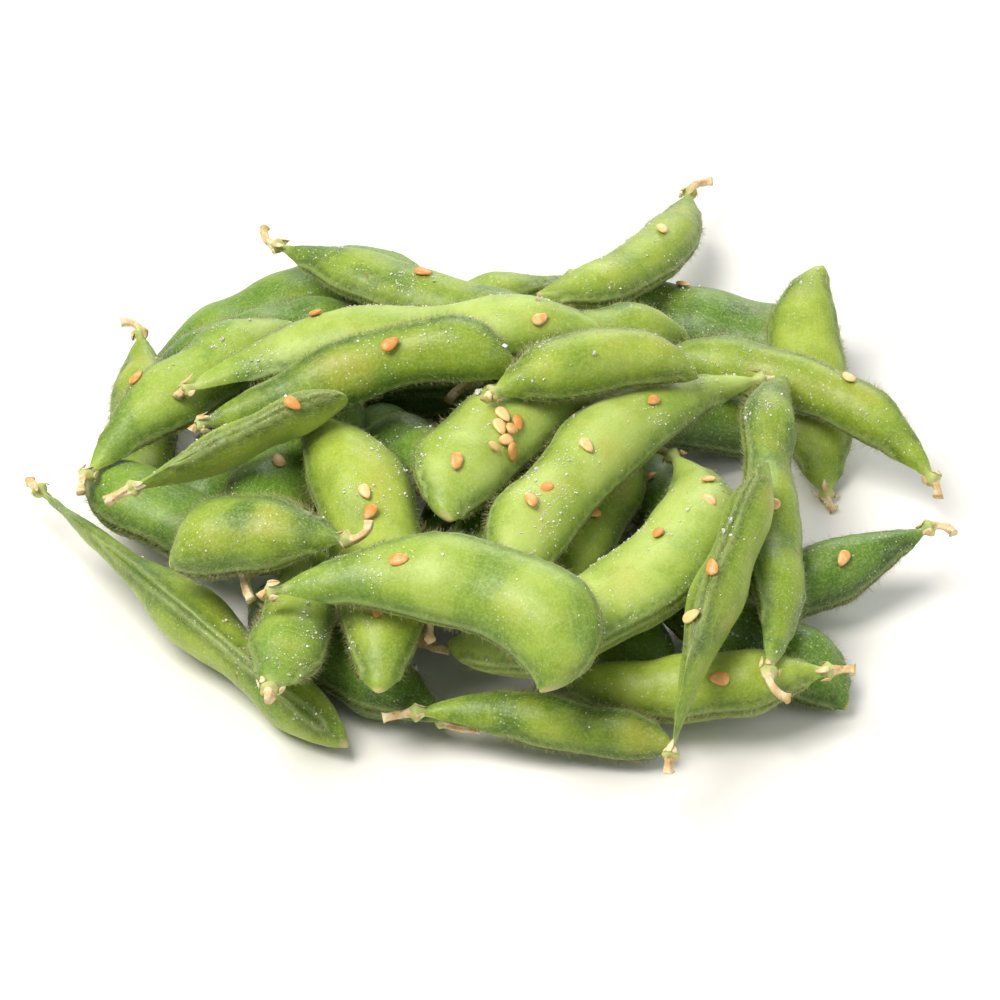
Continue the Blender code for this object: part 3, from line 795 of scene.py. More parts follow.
@dataclass
class Pod:
    """One pod: a skin with seams, a dried calyx with lobes, and down, laid where its solid lies.

    rings and sides give the skin's mesh; hairs is the number of hairs.
    """

    name: str
    shape: PodShape
    seed: int
    rings: int = 92
    stalk_rings: int = 14
    sides: int = 48
    hairs: int = 1900
    place: Placement = field(init=False)
    skin: Array = field(init=False)
    out: Array = field(init=False)
    along: Array = field(init=False)
    s: Array = field(init=False)
    phi: Array = field(init=False)

    def __post_init__(self) -> None:
        """Lay the pod on its solid and work out its fine skin."""
        self.place, left = lay_on(self.shape.solid_corners(), node_corners(self.name))
        if left > LOOSE_FIT:
            LOG.warning("%s lies %.3f mm from its solid", self.name, left)
        stalk = -1.0 + (np.arange(self.stalk_rings) + 0.5) / (self.stalk_rings + 0.5)
        even = (np.arange(self.rings) + 0.5) / self.rings
        body = even - 0.06 * np.sin(2.0 * math.pi * even)
        self.s = np.concatenate([stalk, body])
        round_ = 2.0 * math.pi * np.arange(self.sides) / self.sides
        self.phi = round_ - 0.36 * np.sin(2.0 * round_)
        plain = self.place.apply(self.shape.skin(self.s, self.phi))
        self.skin = self.relief(plain)
        self.skin[..., 2] = np.maximum(self.skin[..., 2], 0.0)
        self.out, self.along = self.directions(self.skin)

    def directions(self, grid: Array) -> tuple[Array, Array]:
        """Outward and lengthwise unit vectors of a grid, from differences between neighbours.

        Args:
            grid: Points (n, m, 3), closed in the second direction.

        Returns:
            Outward and lengthwise directions, each (n, m, 3).
        """
        around = (np.roll(grid, -1, axis=1) - np.roll(grid, 1, axis=1)) * self.shape.flip
        along = np.gradient(grid, axis=0)
        return unit(np.cross(around, along)), unit(along)

    def from_seam(self) -> Array:
        """Distance of each grid point from the nearer seam along the skin, about, in millimetres."""
        deep = self.shape.half_sizes(self.s)[2]
        return np.abs(deep[:, None] * np.sin(self.phi)) + 2.5 * smooth((2.6 - deep[:, None]) / 2.0)

    def relief(self, plain: Array) -> Array:
        """Skin relief: two lips beside a shallow groove at both seams, slack swellings, wrinkles that
        deepen towards the neck, and a shrivelled stalk with four ridges.

        Args:
            plain: The plain skin's grid.

        Returns:
            The grid moved along its outward direction.
        """
        out, _ = self.directions(plain)
        s = self.s[:, None]
        body = smooth(s / 0.06) * smooth((1.0 - s) / 0.03)
        gap = self.from_seam()
        lips = 0.30 * np.exp(-(((gap - 0.8) / 0.36) ** 2)) - 0.22 * np.exp(-((gap / 0.4) ** 2))
        beads = 0.65 + 0.5 * lattice_noise(plain, 1.3, self.seed + 3)
        slack = 0.30 * lattice_noise(plain, 8.0, self.seed) + 0.12 * lattice_noise(plain, 3.2, self.seed + 1)
        fine = 0.045 * lattice_noise(plain, 1.1, self.seed + 2)
        neck = 0.10 * lattice_noise(plain, 1.6, self.seed + 4) * smooth((0.2 - s) / 0.15)
        move = body * (lips * beads + slack - 0.12 + fine + neck)
        dry = smooth(-s / 0.08)
        ridges = 0.09 * np.cos(4.0 * self.phi[None] + 3.0 * s + self.seed)
        torn = 0.13 * lattice_noise(plain, 0.9, self.seed + 5)
        torn += 0.1 * lattice_noise(plain, 2.2, self.seed + 6)
        lobes = 1.0 + 0.6 * np.cos(5.0 * self.phi[None] + self.seed)
        collar = 0.2 * np.exp(-(((s + 0.06) / 0.07) ** 2)) * lobes
        thin = -0.12 * smooth((-s - 0.15) / 0.3) + 0.16 * smooth((-s - 0.85) / 0.15)
        move = move + dry * (ridges + torn + thin) + collar * smooth((0.1 - s) / 0.1)
        return plain + out * move[..., None]

    def build(self, finishes: dict[str, list[bpy.types.Material]], slot: str) -> None:
        """Make the skin and the calyx lobes as one piece that replaces the solid.

        Args:
            finishes: Skin and calyx materials by the name of the record's slot.
            slot: The pod's slot in the record.
        """
        rings = len(self.s)
        ends = np.stack([self.skin[0].mean(axis=0), self.skin[-1].mean(axis=0)])
        ends[1] += 0.35 * unit(self.skin[-1].mean(axis=0) - self.skin[-3].mean(axis=0))
        points = np.concatenate([self.skin.reshape(-1, 3), ends])
        faces, corners = skin_faces(rings, self.sides, self.shape.flip < 0)
        is_dry = [self.s[int(ring)] < 0.004 for ring in self.first_rings(faces, corners)]
        fields = self.fields()
        lobes, lobe_faces, lobe_dry = self.lobes(len(points))
        points = np.concatenate([points, lobes])
        fields = {k: np.concatenate([v, np.zeros(len(lobes))]) for k, v in fields.items()}
        fields["dry"][len(points) - len(lobes):] = lobe_dry
        piece = make_object(f"{self.name}_skin", points, faces + lobe_faces, finishes[slot], fields)
        data = piece.data
        index = np.array(is_dry + [True] * len(lobe_faces), np.int32)
        data.polygons.foreach_set("material_index", index)
        layer = data.uv_layers.new(name="skin")
        spot = self.uv(corners)
        whole = np.zeros((len(data.loops), 2))
        whole[: len(spot)] = spot
        layer.data.foreach_set("uv", whole.astype(np.float32).ravel())
        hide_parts(self.name)
        belong(piece)

    def first_rings(self, faces: list[Any], corners: Array) -> Array:
        """The largest ring number among each face's corners."""
        sizes = np.array([len(face) for face in faces])
        starts = np.concatenate([[0], np.cumsum(sizes)[:-1]])
        return np.maximum.reduceat(corners[:, 0], starts)

    def uv(self, corners: Array) -> Array:
        """Skin coordinates in metres: length along the pod, and way round at its middling girth."""
        girth = math.pi * 0.5 * (self.shape.width + self.shape.depth)
        along = self.s[corners[:, 0].astype(int)] * self.shape.length
        around = corners[:, 1] / self.sides * girth
        return np.stack([along, around], axis=1) * MM

    def fields(self) -> dict[str, Array]:
        """Named values for the materials, one a point of the skin and its two poles.

        Returns:
            share along the pod, nearness to a seam, to its lips, to its flanks (a mask that carries painted
            shade as well as the seam's darker green) and to a bean, tone and dryness.
        """
        gap = self.from_seam()
        near = smooth(self.s / 0.08) * smooth((1.0 - self.s) / 0.02)
        seam = np.exp(-((gap / 0.36) ** 2)) * near[:, None]
        lip = np.exp(-(((gap - 0.8) / 0.35) ** 2)) * near[:, None]
        # Band beside each seam that carries painted shade as well as the seam's darker green
        edge = np.exp(-(((gap - 1.2) / 1.0) ** 2)) * near[:, None]
        bean = np.clip(self.shape.swelling(self.s), 0.0, 1.0)[:, None] * (np.sin(self.phi) ** 2)[None]
        share = np.repeat(self.s[:, None], self.sides, axis=1)
        dry = smooth(-share / 0.25)
        tone = np.full_like(share, 0.12 * math.sin(2.4 * self.seed))
        grids = {"share": share, "seam": seam, "lip": lip, "edge": edge}
        grids |= {"bean": bean, "tone": tone, "dry": dry}
        return {key: np.concatenate([g.ravel(), g[0, :1], g[-1, :1]]) for key, g in grids.items()}

    def lobes(self, offset: int) -> tuple[Array, list[Any], Array]:
        """Calyx lobes: thin pointed leaves round the neck, each a flattened tube that tapers to its tip.

        Args:
            offset: Number of the first point.

        Returns:
            Points, faces, and how dry each point is.
        """
        rng = np.random.default_rng(900 + self.seed)
        ring = int(np.argmin(np.abs(self.s + 0.02)))
        rows, sides = 7, 6
        u = (np.arange(rows) + 0.5) / rows
        theta = 2.0 * math.pi * np.arange(sides) / sides
        points, faces, dryness = [], [], []
        for k in range(5):
            if rng.random() < 0.25:
                continue
            side = int((k / 5 + 0.04 * rng.standard_normal()) * self.sides) % self.sides
            root, out, along = self.skin[ring, side], self.out[ring + 4, side], self.along[ring + 4, side]
            across = np.cross(out, along)
            reach, flare = rng.uniform(1.2, 2.6), rng.uniform(-0.1, 0.7)
            droop = along * reach * (u - 0.25 * flare * u**2)[:, None]
            middle = root + droop + out * (0.15 + flare * reach * 0.5 * u**2)[:, None]
            middle += across * (0.3 * rng.standard_normal() * u**2)[:, None]
            half = 0.5 * np.sqrt(np.clip(1.0 - u, 0.0, 1.0)) * (0.75 + 0.5 * np.sin(math.pi * u)) + 0.05
            ring_points = (
                middle[:, None]
                + across * (half[:, None] * np.cos(theta))[..., None]
                + out * (0.11 * np.sin(theta) * (1.2 - u[:, None]))[..., None]
            )
            ends = np.stack([middle[0] - 0.2 * along, middle[-1] + 0.25 * unit(middle[-1] - middle[-2])])
            made, _ = skin_faces(rows, sides, False)
            start = offset + sum(len(p) for p in points)
            faces += [[start + v for v in face] for face in made]
            points.append(np.concatenate([ring_points.reshape(-1, 3), ends]))
            dryness.append(np.concatenate([np.repeat(0.35 + 0.65 * u, sides), [0.3, 1.0]]))
        if not points:
            return np.zeros((0, 3)), [], np.zeros(0)
        return np.concatenate(points), faces, np.concatenate(dryness)

    def down(self, rng: np.random.Generator) -> tuple[Array, Array]:
        """Hairs on the skin: thin three-sided spikes, dense and upright along the seams, short and lying
        towards the beak on the faces.

        Args:
            rng: Source of the draws.

        Returns:
            Corner points (n, 4, 3), three at the root and one at the tip, and how tawny each hair is.
        """
        gap = self.from_seam()
        on_body = smooth((self.s - 0.02) / 0.08)[:, None]
        weight = self.cell_area() * on_body * (0.22 + 2.8 * np.exp(-((gap / 1.4) ** 2)))
        weight = weight * (0.35 + 0.65 * smooth(0.5 + lattice_noise(self.skin, 6.0, self.seed + 9)))
        chosen = rng.choice(weight.size, self.hairs, p=(weight / weight.sum()).ravel())
        i, j = np.unravel_index(chosen, weight.shape)
        i2, j2 = np.minimum(i + 1, len(self.s) - 1), (j + 1) % self.sides
        a, b = rng.random((2, self.hairs, 1))
        root = (self.skin[i, j] * (1 - a) + self.skin[i2, j] * a) * (1 - b)
        root += (self.skin[i, j2] * (1 - a) + self.skin[i2, j2] * a) * b
        out, along = self.out[i, j], self.along[i, j]
        seam = np.exp(-((gap[i, j] / 1.2) ** 2))[:, None]
        stray = 0.35 * rng.standard_normal((self.hairs, 3))
        way = unit(out * (0.42 + 0.5 * seam) + along * (0.75 - 0.35 * seam) + stray)
        reach = 0.5 + 0.8 * seam + 0.45 * rng.random((self.hairs, 1))
        reach *= rng.uniform(0.6, 1.2, (self.hairs, 1))
        side = unit(np.cross(way, out + 0.01))
        third = np.cross(way, side)
        width = 0.022 + 0.010 * rng.random((self.hairs, 1))
        low = root - 0.05 * out
        corners = np.stack(
            [low + side * width, low - 0.5 * side * width + 0.87 * third * width,
             low - 0.5 * side * width - 0.87 * third * width, low + way * (reach + 0.05)], axis=1
        )
        corners[..., 2] = np.maximum(corners[..., 2], 0.0)
        return corners, np.clip(0.75 * seam[:, 0] + 0.35 * rng.standard_normal(self.hairs), 0.0, 1.0)

    def cell_area(self) -> Array:
        """Area of each grid cell in square millimetres, from its two sides."""
        down = np.linalg.norm(np.gradient(self.skin, axis=0), axis=2)
        round_ = np.linalg.norm(np.roll(self.skin, -1, axis=1) - self.skin, axis=2)
        return down * round_

    def spot(self, share: float, lean: float, towards: float) -> tuple[Array, Array, Array]:
        """Where the skin at a share of the length faces most nearly a given way.

        Args:
            share: Place from calyx to beak.
            lean: Angle of the way from straight up, in degrees.
            towards: Heading that it leans to, in degrees.

        Returns:
            The point, its outward direction and the direction along the pod.
        """
        ring = int(np.argmin(np.abs(self.s - share)))
        a, h = math.radians(lean), math.radians(towards)
        wanted = np.array([math.sin(a) * math.cos(h), math.sin(a) * math.sin(h), math.cos(a)])
        side = int(np.argmax(self.out[ring] @ wanted))
        return self.skin[ring, side], self.out[ring, side], self.along[ring, side]


# The first pods lie inside the heap and get a coarser mesh with fewer hairs
BURIED = 11
BURIED_MESH = {"rings": 56, "stalk_rings": 10, "sides": 32, "hairs": 500}

SHAPES = {
    "pod_01": PodShape(54, bend=20),
    "pod_02": PodShape(54, bend=15),
    "pod_03": PodShape(50, bend=10),
    "pod_04": PodShape(50, bend=15, width=13),
    "pod_05": PodShape(48, bend=10, width=14),
    "pod_06": PodShape(46, bend=10, width=14),
    "pod_07": PodShape(46, bend=10, width=14),
    "pod_08": PodShape(48, bend=15, width=14),
    "pod_09": PodShape(44, bend=10, width=13),
    "pod_10": PodShape(46, bend=10, width=13),
    "pod_11": PodShape(46, bend=15, width=13),
    "pod_12": PodShape(
        40, bend=10, beans=2, middle=0.6, neck=0.5, waist=0.1, wave=0.15, width=11, stalk=4.5,
        stalk_bend=-100,
    ),
    "pod_13": PodShape(36, bend=10, beans=2, width=11.5),
    "pod_14": PodShape(42, bend=10, taper=0.45, waist=0.2, lean=0.8, width=11, stalk=4, stalk_bend=-20),
    "pod_15": PodShape(44, bend=10, width=12),
    "pod_16": PodShape(40, beans=2, waist=0.1, width=14),
    "pod_17": PodShape(44, bend=10, neck=0.45, width=11, depth=9.5, stalk=5, stalk_bend=100),
    "pod_18": PodShape(44, bend=20, width=12),
    "pod_19": PodShape(46, taper=0.45, waist=0.15, lean=0.9, width=13, depth=9.5, stalk=3),
    "pod_20": PodShape(44, width=13),
    "pod_21": PodShape(46, width=12, depth=9.5),
    "pod_22": PodShape(52, sway=6, waist=0.15),
    "pod_23": PodShape(42, neck=0.25, width=11, depth=9.5, stalk=2.5),
    "pod_24": PodShape(46, width=12),
    "pod_25": PodShape(42, waist=0.2, width=12),
    "pod_26": PodShape(
        44, bend=10, beans=2, flip=-1, neck=0.4, waist=0.2, wave=0.22, width=9.5, depth=7.5, stalk=3,
    ),
    "pod_27": PodShape(72, bend=125, sway=6, neck=0.45, waist=0.24, wave=0.22, width=17, depth=11.5),
    "pod_28": PodShape(
        54, bend=20, sway=-5, flip=-1, neck=0.4, waist=0.15, wave=0.16, width=11.5, depth=8.5,
        stalk_bend=70,
    ),
    "pod_29": PodShape(
        56, bend=50, neck=0.45, waist=0.12, width=10.5, depth=9, stalk=7.5, stalk_bend=-70,
    ),
    "pod_30": PodShape(
        54, bend=50, sway=5, flip=-1, neck=0.42, waist=0.15, wave=0.22, width=9.5, depth=8, stalk=3,
    ),
    "pod_31": PodShape(
        48, bend=10, beans=2, sway=6, middle=0.6, neck=0.5, waist=0.25, wave=0.28, width=12.5,
        depth=9.5, stalk=3.5,
    ),
    "pod_32": PodShape(38, beans=2, sway=-8, middle=0.6, waist=0.3, width=9.5, depth=7, stalk=4.5),
    "pod_33": PodShape(
        40, bend=5, beans=2, sway=8, twist=40, middle=0.68, neck=0.5, waist=0.42, wave=0.2, width=8,
        depth=6.5, stalk=5, stalk_bend=5,
    ),
    "pod_34": PodShape(
        76, bend=5, beans=2, sway=6, middle=0.7, neck=0.56, waist=0.5, wave=0.2, lean=0.3, width=12,
        depth=10.5, stalk=6.5, stalk_bend=55,
    ),
    "pod_35": PodShape(
        58, bend=45, beans=2, sway=6, middle=0.5, neck=0.26, taper=0.46, waist=0.2, wave=0.18,
        lean=0.2, depth=12, stalk=1.5,
    ),
    "pod_36": PodShape(
        30, bend=20, beans=2, middle=0.6, flip=-1, neck=0.62, waist=0.1, width=12.5, depth=10, stalk=5,
        stalk_bend=-110,
    ),
    "pod_37": PodShape(
        58, bend=50, sway=6, flip=-1, neck=0.42, taper=0.26, waist=0.28, wave=0.16, stalk=2,
    ),
    "pod_38": PodShape(
        56, bend=10, beans=2, sway=7, middle=0.66, neck=0.6, taper=0.42, waist=0.45, wave=0.25,
        lean=0.3, width=10, depth=9, stalk=2.5,
    ),
    "pod_39": PodShape(
        70, sway=-7, neck=0.34, taper=0.24, waist=0.4, wave=0.4, lean=0.5, width=9.5, depth=8,
        stalk_bend=110,
    ),
    "pod_40": PodShape(
        74, bend=25, beans=2, hook=25, sway=8, middle=0.66, flip=-1, neck=0.4, taper=0.24, waist=0.28,
        wave=0.3, width=13, depth=10, stalk=2,
    ),
    "pod_41": PodShape(
        54, bend=30, beans=2, sway=-8, middle=0.64, neck=0.42, taper=0.22, waist=0.34, wave=0.26,
        width=10.5, depth=8.5, stalk=1.5,
    ),
    "pod_42": PodShape(
        70, bend=25, beans=2, sway=8, middle=0.6, neck=0.42, taper=0.24, waist=0.38, wave=0.24,
        width=12.5, depth=10, stalk=1.5,
    ),
    "pod_43": PodShape(
        37, bend=25, neck=0.45, taper=0.5, waist=0.12, lean=0.9, width=11, depth=9, stalk=1.5,
    ),
    "pod_44": PodShape(
        57, bend=35, beans=2, hook=60, middle=0.62, neck=0.6, taper=0.22, waist=0.25, wave=0.18,
        lean=0.95, stalk=1.5,
    ),
}


@dataclass(frozen=True)
class LooseSeed:
    """A sesame seed that has no solid of its own: its pod, share along it, lean, heading and spin."""

    pod: str
    share: float
    lean: float = 30.0
    towards: float = -90.0
    spin: float = 0.0
    tip_up: float = 0.0


LOOSE_SEEDS = (
    LooseSeed("pod_37", 0.64, 38, -50, 10, 25), LooseSeed("pod_37", 0.70, 42, -62, 75, -20),
    LooseSeed("pod_37", 0.74, 36, -48, -35, 15), LooseSeed("pod_37", 0.66, 30, -75, 55, 0),
    LooseSeed("pod_37", 0.34, 30, -30, 15, 20), LooseSeed("pod_22", 0.55, 30, -90, 80, 0),
    LooseSeed("pod_40", 0.80, 25, -100, 35, 10), LooseSeed("pod_27", 0.22, 20, -90, -60, 0),
    LooseSeed("pod_27", 0.45, 35, -150, 20, 0), LooseSeed("pod_26", 0.40, 30, -90, 25, 0),
    LooseSeed("pod_26", 0.62, 30, -100, -50, 10), LooseSeed("pod_38", 0.52, 40, -170, 20, 15),
    LooseSeed("pod_38", 0.38, 35, -175, -70, 0), LooseSeed("pod_12", 0.40, 30, -90, 40, 0),
    LooseSeed("pod_13", 0.35, 30, -60, 10, 0), LooseSeed("pod_35", 0.78, 20, -90, -5, 0),
    LooseSeed("pod_15", 0.30, 30, -90, 60, 0), LooseSeed("pod_42", 0.86, 25, -90, 30, 0),
    LooseSeed("pod_05", 0.45, 20, -90, 70, 0), LooseSeed("pod_14", 0.40, 30, -90, -15, 0),
    LooseSeed("pod_21", 0.50, 25, -60, 40, 0), LooseSeed("pod_28", 0.55, 25, -30, 15, 0),
    LooseSeed("pod_29", 0.45, 20, 60, 35, 0), LooseSeed("pod_30", 0.40, 20, 30, -45, 0),
    LooseSeed("pod_42", 0.35, 25, 100, 60, 0), LooseSeed("pod_04", 0.50, 20, 90, 20, 0),
    LooseSeed("pod_02", 0.45, 25, 60, -30, 0), LooseSeed("pod_31", 0.40, 30, 160, 10, 0),
)


@dataclass(frozen=True)
class SesameSeeds:
    """Toasted sesame seeds: flattened drops with a faint rim, 3 mm long."""

    length: float = 3.1
    width: float = 1.9
    depth: float = 0.9
    rows: int = 17
    sides: int = 20

    def form(self, rng: np.random.Generator) -> Array:
        """A seed in its own frame: sine rings that narrow towards the point, pinched to a rim at both
        edges, with a little unevenness.

        Args:
            rng: Source of the draws.

        Returns:
            Points: rings from the point to the blunt end, then the two ends.
        """
        polar = math.pi * (np.arange(self.rows) + 1) / (self.rows + 1)
        theta = 2.0 * math.pi * np.arange(self.sides) / self.sides
        size = rng.uniform(0.86, 1.08)
        wide = np.sin(polar) ** 0.92 * (1.0 - 0.30 * np.cos(polar))
        rim = 1.0 + 0.05 * np.cos(theta) ** 8
        sunk = 1.0 - 0.20 * np.exp(-((np.cos(theta) / 0.45) ** 2)) * rng.uniform(0.0, 1.0)
        points = np.empty((self.rows, self.sides, 3))
        points[..., 0] = 0.5 * self.length * np.cos(polar)[:, None]
        points[..., 1] = 0.5 * self.width * wide[:, None] * np.cos(theta) * rim
        points[..., 2] = 0.5 * self.depth * wide[:, None] * np.sin(theta) * sunk
        points += 0.035 * unit(points) * lattice_noise(points + 50.0 * rng.random(3), 0.8, 5)[..., None]
        ends = 0.5 * self.length * np.array([[1.06, 0.0, 0.0], [-1.0, 0.0, 0.0]])
        return size * np.concatenate([points.reshape(-1, 3), ends])

    def make(self, name: str, spots: list[tuple[Array, Array]], seed: int, material: Any) -> bpy.types.Object:
        """Make one piece of one or more seeds.

        Args:
            name: The piece's name.
            spots: Each seed's centre and its frame (point, across, out) as columns.
            seed: Starts the draws.
            material: The seeds' finish.

        Returns:
            The piece.
        """
        rng = np.random.default_rng(seed)
        made, _ = skin_faces(self.rows, self.sides, True)
        points, faces, toast, tips = [], [], [], []
        for centre, turn in spots:
            start = sum(len(p) for p in points)
            form = self.form(rng)
            points.append(form @ turn.T + centre)
            faces += [[start + v for v in face] for face in made]
            toast.append(np.full(len(form), rng.uniform(-0.15, 0.75)))
            tips.append(smooth((form[:, 0] - 0.9) / 0.7))
        fields = {"toast": np.concatenate(toast), "point": np.concatenate(tips)}
        piece = make_object(name, np.concatenate(points), faces, [material], fields)
        belong(piece)
        return piece

    def spot_of_node(self, name: str) -> tuple[Array, Array]:
        """Where a packed seed lies: the middle of its box along its own axes, its pointed end first.

        Args:
            name: The seed's node.

        Returns:
            Its centre and its frame.
        """
        corners = node_corners(name)
        turn = principal_axes(corners)
        own = (corners - corners.mean(axis=0)) @ turn
        if (own[:, 0] * own[:, 1] ** 2).sum() > 0.0:
            turn = turn * np.array([-1.0, -1.0, 1.0])
            own = own * np.array([-1.0, -1.0, 1.0])
        middle = 0.5 * (own.min(axis=0) + own.max(axis=0))
        return corners.mean(axis=0) + turn @ middle, turn

    def build(self, pods: dict[str, Pod], material: Any) -> None:
        """Make the seeds that have a solid, one piece each, and the loose ones as one piece.

        Args:
            pods: The pods by name.
            material: The seeds' finish.
        """
        for number, name in enumerate(sorted(n for n in frame["nodes"] if n.startswith("sesame"))):
            piece = self.make(f"{name}_coat", [self.spot_of_node(name)], 300 + number, material)
            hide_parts(name)
        spots = []
        for seed in LOOSE_SEEDS:
            point, out, along = pods[seed.pod].spot(seed.share, seed.lean, seed.towards)
            first = unit(along - out * (along @ out))
            spin, rise = math.radians(seed.spin), math.radians(seed.tip_up)
            first = math.cos(spin) * first + math.sin(spin) * np.cross(out, first)
            second = np.cross(out, first)
            first = math.cos(rise) * first + math.sin(rise) * out
            lift = 0.45 + 0.5 * self.length * abs(math.sin(rise)) * 0.8
            spots.append((point + out * lift, np.stack([first, second, np.cross(first, second)], axis=1)))
        self.make("sesame_loose", spots, 77, material)
        LOG.info("sesame: %d seeds with a solid, %d loose", number + 1, len(spots))


@dataclass(frozen=True)
class Salt:
    """Coarse crystals and fine grains of crushed salt on the upper skins."""

    crystals: int = 30
    grains: int = 4600
    cube: float = 0.10

    def chunk(self, rng: np.random.Generator, rows: int = 9, sides: int = 14) -> Array:
        """A crushed crystal: in each direction, as far as the nearest of nine random planes.

        Args:
            rng: Source of the draws.
            rows: Rings of directions.
            sides: Directions in a ring.

        Returns:
            Points on rings and two poles, about 1 mm in radius.
        """
        polar = math.pi * (np.arange(rows) + 1) / (rows + 1)
        theta = 2.0 * math.pi * np.arange(sides) / sides
        ring = np.stack(
            [np.sin(polar)[:, None] * np.cos(theta), np.sin(polar)[:, None] * np.sin(theta),
             np.repeat(np.cos(polar)[:, None], sides, axis=1)], axis=2
        )
        ways = np.concatenate([ring.reshape(-1, 3), [[0.0, 0.0, 1.0], [0.0, 0.0, -1.0]]])
        planes = unit(np.concatenate([np.eye(3), -np.eye(3), rng.standard_normal((5, 3))])
                      + 0.22 * rng.standard_normal((11, 3)))
        depths = rng.uniform(0.62, 1.0, 11)
        reach = (depths / np.maximum(ways @ planes.T, 1e-3)).min(axis=1)
        return ways * reach[:, None] * rng.uniform(0.65, 1.1, 3)

    def sites(self, pods: dict[str, Pod], count: int, rng: np.random.Generator) -> tuple[Array, Array]:
        """Draw places on skins that face up, more on high pods and in clusters.

        Args:
            pods: The pods by name.
            count: Number of places.
            rng: Source of the draws.

        Returns:
            Points and outward directions.
        """
        points = np.concatenate([pod.skin[pod.stalk_rings:].reshape(-1, 3) for pod in pods.values()])
        out = np.concatenate([pod.out[pod.stalk_rings:].reshape(-1, 3) for pod in pods.values()])
        area = np.concatenate([pod.cell_area()[pod.stalk_rings:].ravel() for pod in pods.values()])
        weight = area * smooth((out[:, 2] - 0.1) / 0.7) * (0.15 + smooth(points[:, 2] / 26.0))
        cluster = 0.5 + 0.5 * lattice_noise(points, 9.0, 61) + 0.35 * lattice_noise(points, 2.5, 62)
        weight *= 0.06 + 3.0 * smooth((cluster - 0.5) / 0.5) ** 2
        chosen = rng.choice(len(points), count, p=weight / weight.sum())
        spots = points[chosen] + 0.5 * rng.uniform(-1.0, 1.0, (count, 3))
        spots -= out[chosen] * ((spots - points[chosen]) * out[chosen]).sum(axis=1, keepdims=True)
        return spots, out[chosen]

    def build(self, pods: dict[str, Pod], coarse: Any, fine: Any) -> None:
        """Make the crystals and the grains, one piece each.

        Args:
            pods: The pods by name.
            coarse: Finish of the crystals.
            fine: Finish of the grains.
        """
        rng = np.random.default_rng(41)
        made, _ = skin_faces(9, 14, True)
        spots, out = self.sites(pods, self.crystals, rng)
        points, faces = [], []
        for spot, way in zip(spots, out):
            size = 0.26 + 0.42 * rng.random() ** 2
            chunk = self.chunk(rng) * size
            faces += [[len(points) * len(chunk) + v for v in face] for face in made]
            points.append(chunk + spot + way * size * 0.45)
        piece = make_object("salt_crystals", np.concatenate(points), faces, [coarse], soft=False)
        belong(piece)
        spots, out = self.sites(pods, self.grains, rng)
        corners = np.array(list(np.ndindex(2, 2, 2)), float) - 0.5
        size = self.cube * np.exp(0.45 * rng.standard_normal((self.grains, 1, 1)))
        size = size * rng.uniform(0.7, 1.3, (self.grains, 1, 3))
        shape = corners[None] * size * (1.0 + 0.25 * rng.uniform(-1.0, 1.0, (self.grains, 8, 3)))
        turns = np.linalg.qr(rng.standard_normal((self.grains, 3, 3)))[0]
        turns[:, :, 0] *= np.sign(np.linalg.det(turns))[:, None]
        points = np.einsum("nij,nkj->nki", turns, shape) + (spots + 0.35 * size[:, 0] * out)[:, None]
        box = np.array([[0, 1, 3, 2], [4, 6, 7, 5], [0, 4, 5, 1], [2, 3, 7, 6], [0, 2, 6, 4], [1, 5, 7, 3]])
        faces = (8 * np.arange(self.grains)[:, None, None] + box).reshape(-1, 4).tolist()
        piece = make_object("salt_grains", points.reshape(-1, 3), faces, [fine], soft=False)
        belong(piece)
        LOG.info("salt: %d crystals and %d grains", self.crystals, self.grains)


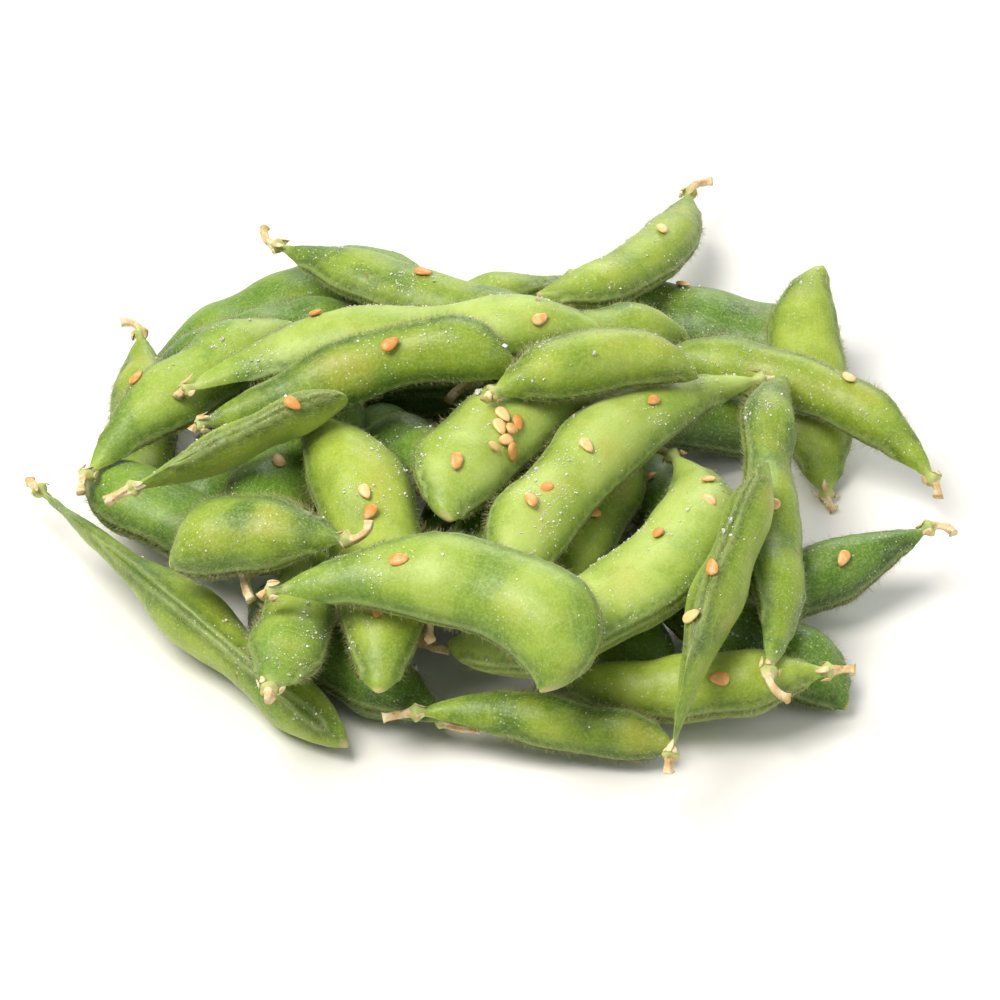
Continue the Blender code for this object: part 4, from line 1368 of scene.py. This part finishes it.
@dataclass(frozen=True)
class Studio:
    """Pale floor, soft lights and the camera, 39 degrees above the horizon."""

    elevation: float = 39.0
    distance: float = 620.0
    view: float = 166.7
    target: tuple[float, float, float] = (2.35, -2.85, 0.0)

    def floor(self) -> None:
        """Make a plain pale floor."""
        matt = Recipe("pale matt floor")
        colour = matt.mix(matt.noise(60.0), "#E6E4E0", "#EAE8E4")
        material = matt.finish({"Base Color": colour, "Roughness": 0.7})
        half = 2500.0
        corners = np.array([[-half, -half, 0], [half, -half, 0], [half, half, 0], [-half, half, 0]])
        make_object("floor", corners, [[0, 1, 2, 3]], [material], soft=False)

    def light(
        self, name: str, where: tuple[float, float, float], size: float, power: float, tint: str
    ) -> None:
        """Add a square area light that faces the heap.

        Args:
            name: The light's name.
            where: Its place in metres.
            size: Its side in metres.
            power: Its power in watts.
            tint: Its colour.
        """
        data = bpy.data.lights.new(name, "AREA")
        data.size = size
        data.energy = power
        data.color = linear(tint)[:3]
        lamp = bpy.data.objects.new(name, data)
        lamp.location = where
        lamp.rotation_euler = (Vector((0.0, 0.0, 0.015)) - Vector(where)).to_track_quat("-Z", "Y").to_euler()
        bpy.context.scene.collection.objects.link(lamp)

    def build(self) -> None:
        """Make the floor, the lights, the world and the camera."""
        self.floor()
        self.light("key", (-0.35, -0.15, 0.75), 0.50, 9.5, "#FFFBF4")
        self.light("fill", (0.70, -0.35, 0.50), 0.80, 2.6, "#F8FAFF")
        self.light("rim", (0.15, 0.80, 0.45), 0.60, 4.0, "#FFFFFF")
        world = bpy.data.worlds.new("studio")
        world.use_nodes = True
        world.node_tree.nodes["Background"].inputs["Color"].default_value = linear("#F6F7F8")
        world.node_tree.nodes["Background"].inputs["Strength"].default_value = 0.32
        bpy.context.scene.world = world
        bpy.context.scene.view_settings.view_transform = "Standard"
        data = bpy.data.cameras.new("camera")
        data.sensor_width = 36.0
        data.lens = 36.0 * self.distance / self.view
        data.clip_start, data.clip_end = 0.01, 20.0
        camera = bpy.data.objects.new("camera", data)
        tilt = math.radians(self.elevation)
        back = np.array([0.0, -math.cos(tilt), math.sin(tilt)]) * self.distance
        camera.location = Vector(((np.array(self.target) + back) * MM).tolist())
        camera.rotation_euler = (math.radians(90.0 - self.elevation), 0.0, 0.0)
        bpy.context.scene.collection.objects.link(camera)
        bpy.context.scene.camera = camera


def build_down(pods: dict[str, Pod], slots: dict[str, str], material: Any) -> None:
    """Make the down of all pods, one piece for each of the record's slots.

    Args:
        pods: The pods by name.
        slots: Each pod's slot.
        material: The down's finish.
    """
    spike = np.array([[0, 1, 3], [1, 2, 3], [2, 0, 3], [0, 2, 1]])
    for tint in Tint:
        names = [name for name in pods if slots[name] == tint.slot]
        grown = [pods[name].down(np.random.default_rng(500 + pods[name].seed)) for name in names]
        corners = np.concatenate([g[0] for g in grown])
        tawny = np.repeat(np.concatenate([g[1] for g in grown]), 4)
        faces = (4 * np.arange(len(corners))[:, None, None] + spike).reshape(-1, 3).tolist()
        piece = make_object(f"down_{tint.slot}", corners.reshape(-1, 3), faces, [material], {"tawny": tawny})
        belong(piece)
        LOG.info("%s: %d hairs on %d pods", piece.name, len(corners), len(names))


def main() -> None:
    """Build the studio, the pods, their down, the seeds and the salt, and log their counts."""
    logging.basicConfig(level=logging.INFO, format="%(name)s %(message)s")
    Studio().build()
    slots = {part["node"]: part["material_slot"] for part in frame["record"]["subparts"]}
    calyx = DriedCalyxFinish().make()
    finishes = {tint.slot: [PodSkinFinish(tint).make(), calyx] for tint in Tint}
    pods: dict[str, Pod] = {}
    for number, (name, shape) in enumerate(SHAPES.items(), 1):
        pods[name] = Pod(name, shape, number, **(BURIED_MESH if number <= BURIED else {}))
        pods[name].build(finishes, slots[name])
    LOG.info("%d pods", len(pods))
    build_down(pods, slots, DownFinish().make())
    SesameSeeds().build(pods, SeedCoatFinish().make())
    coarse = SaltFinish("crushed sea salt crystals", 0.45, 0.25).make()
    fine = SaltFinish("fine salt grains", 0.1, 0.5).make()
    Salt().build(pods, coarse, fine)


if __name__ == "__main__":
    main()
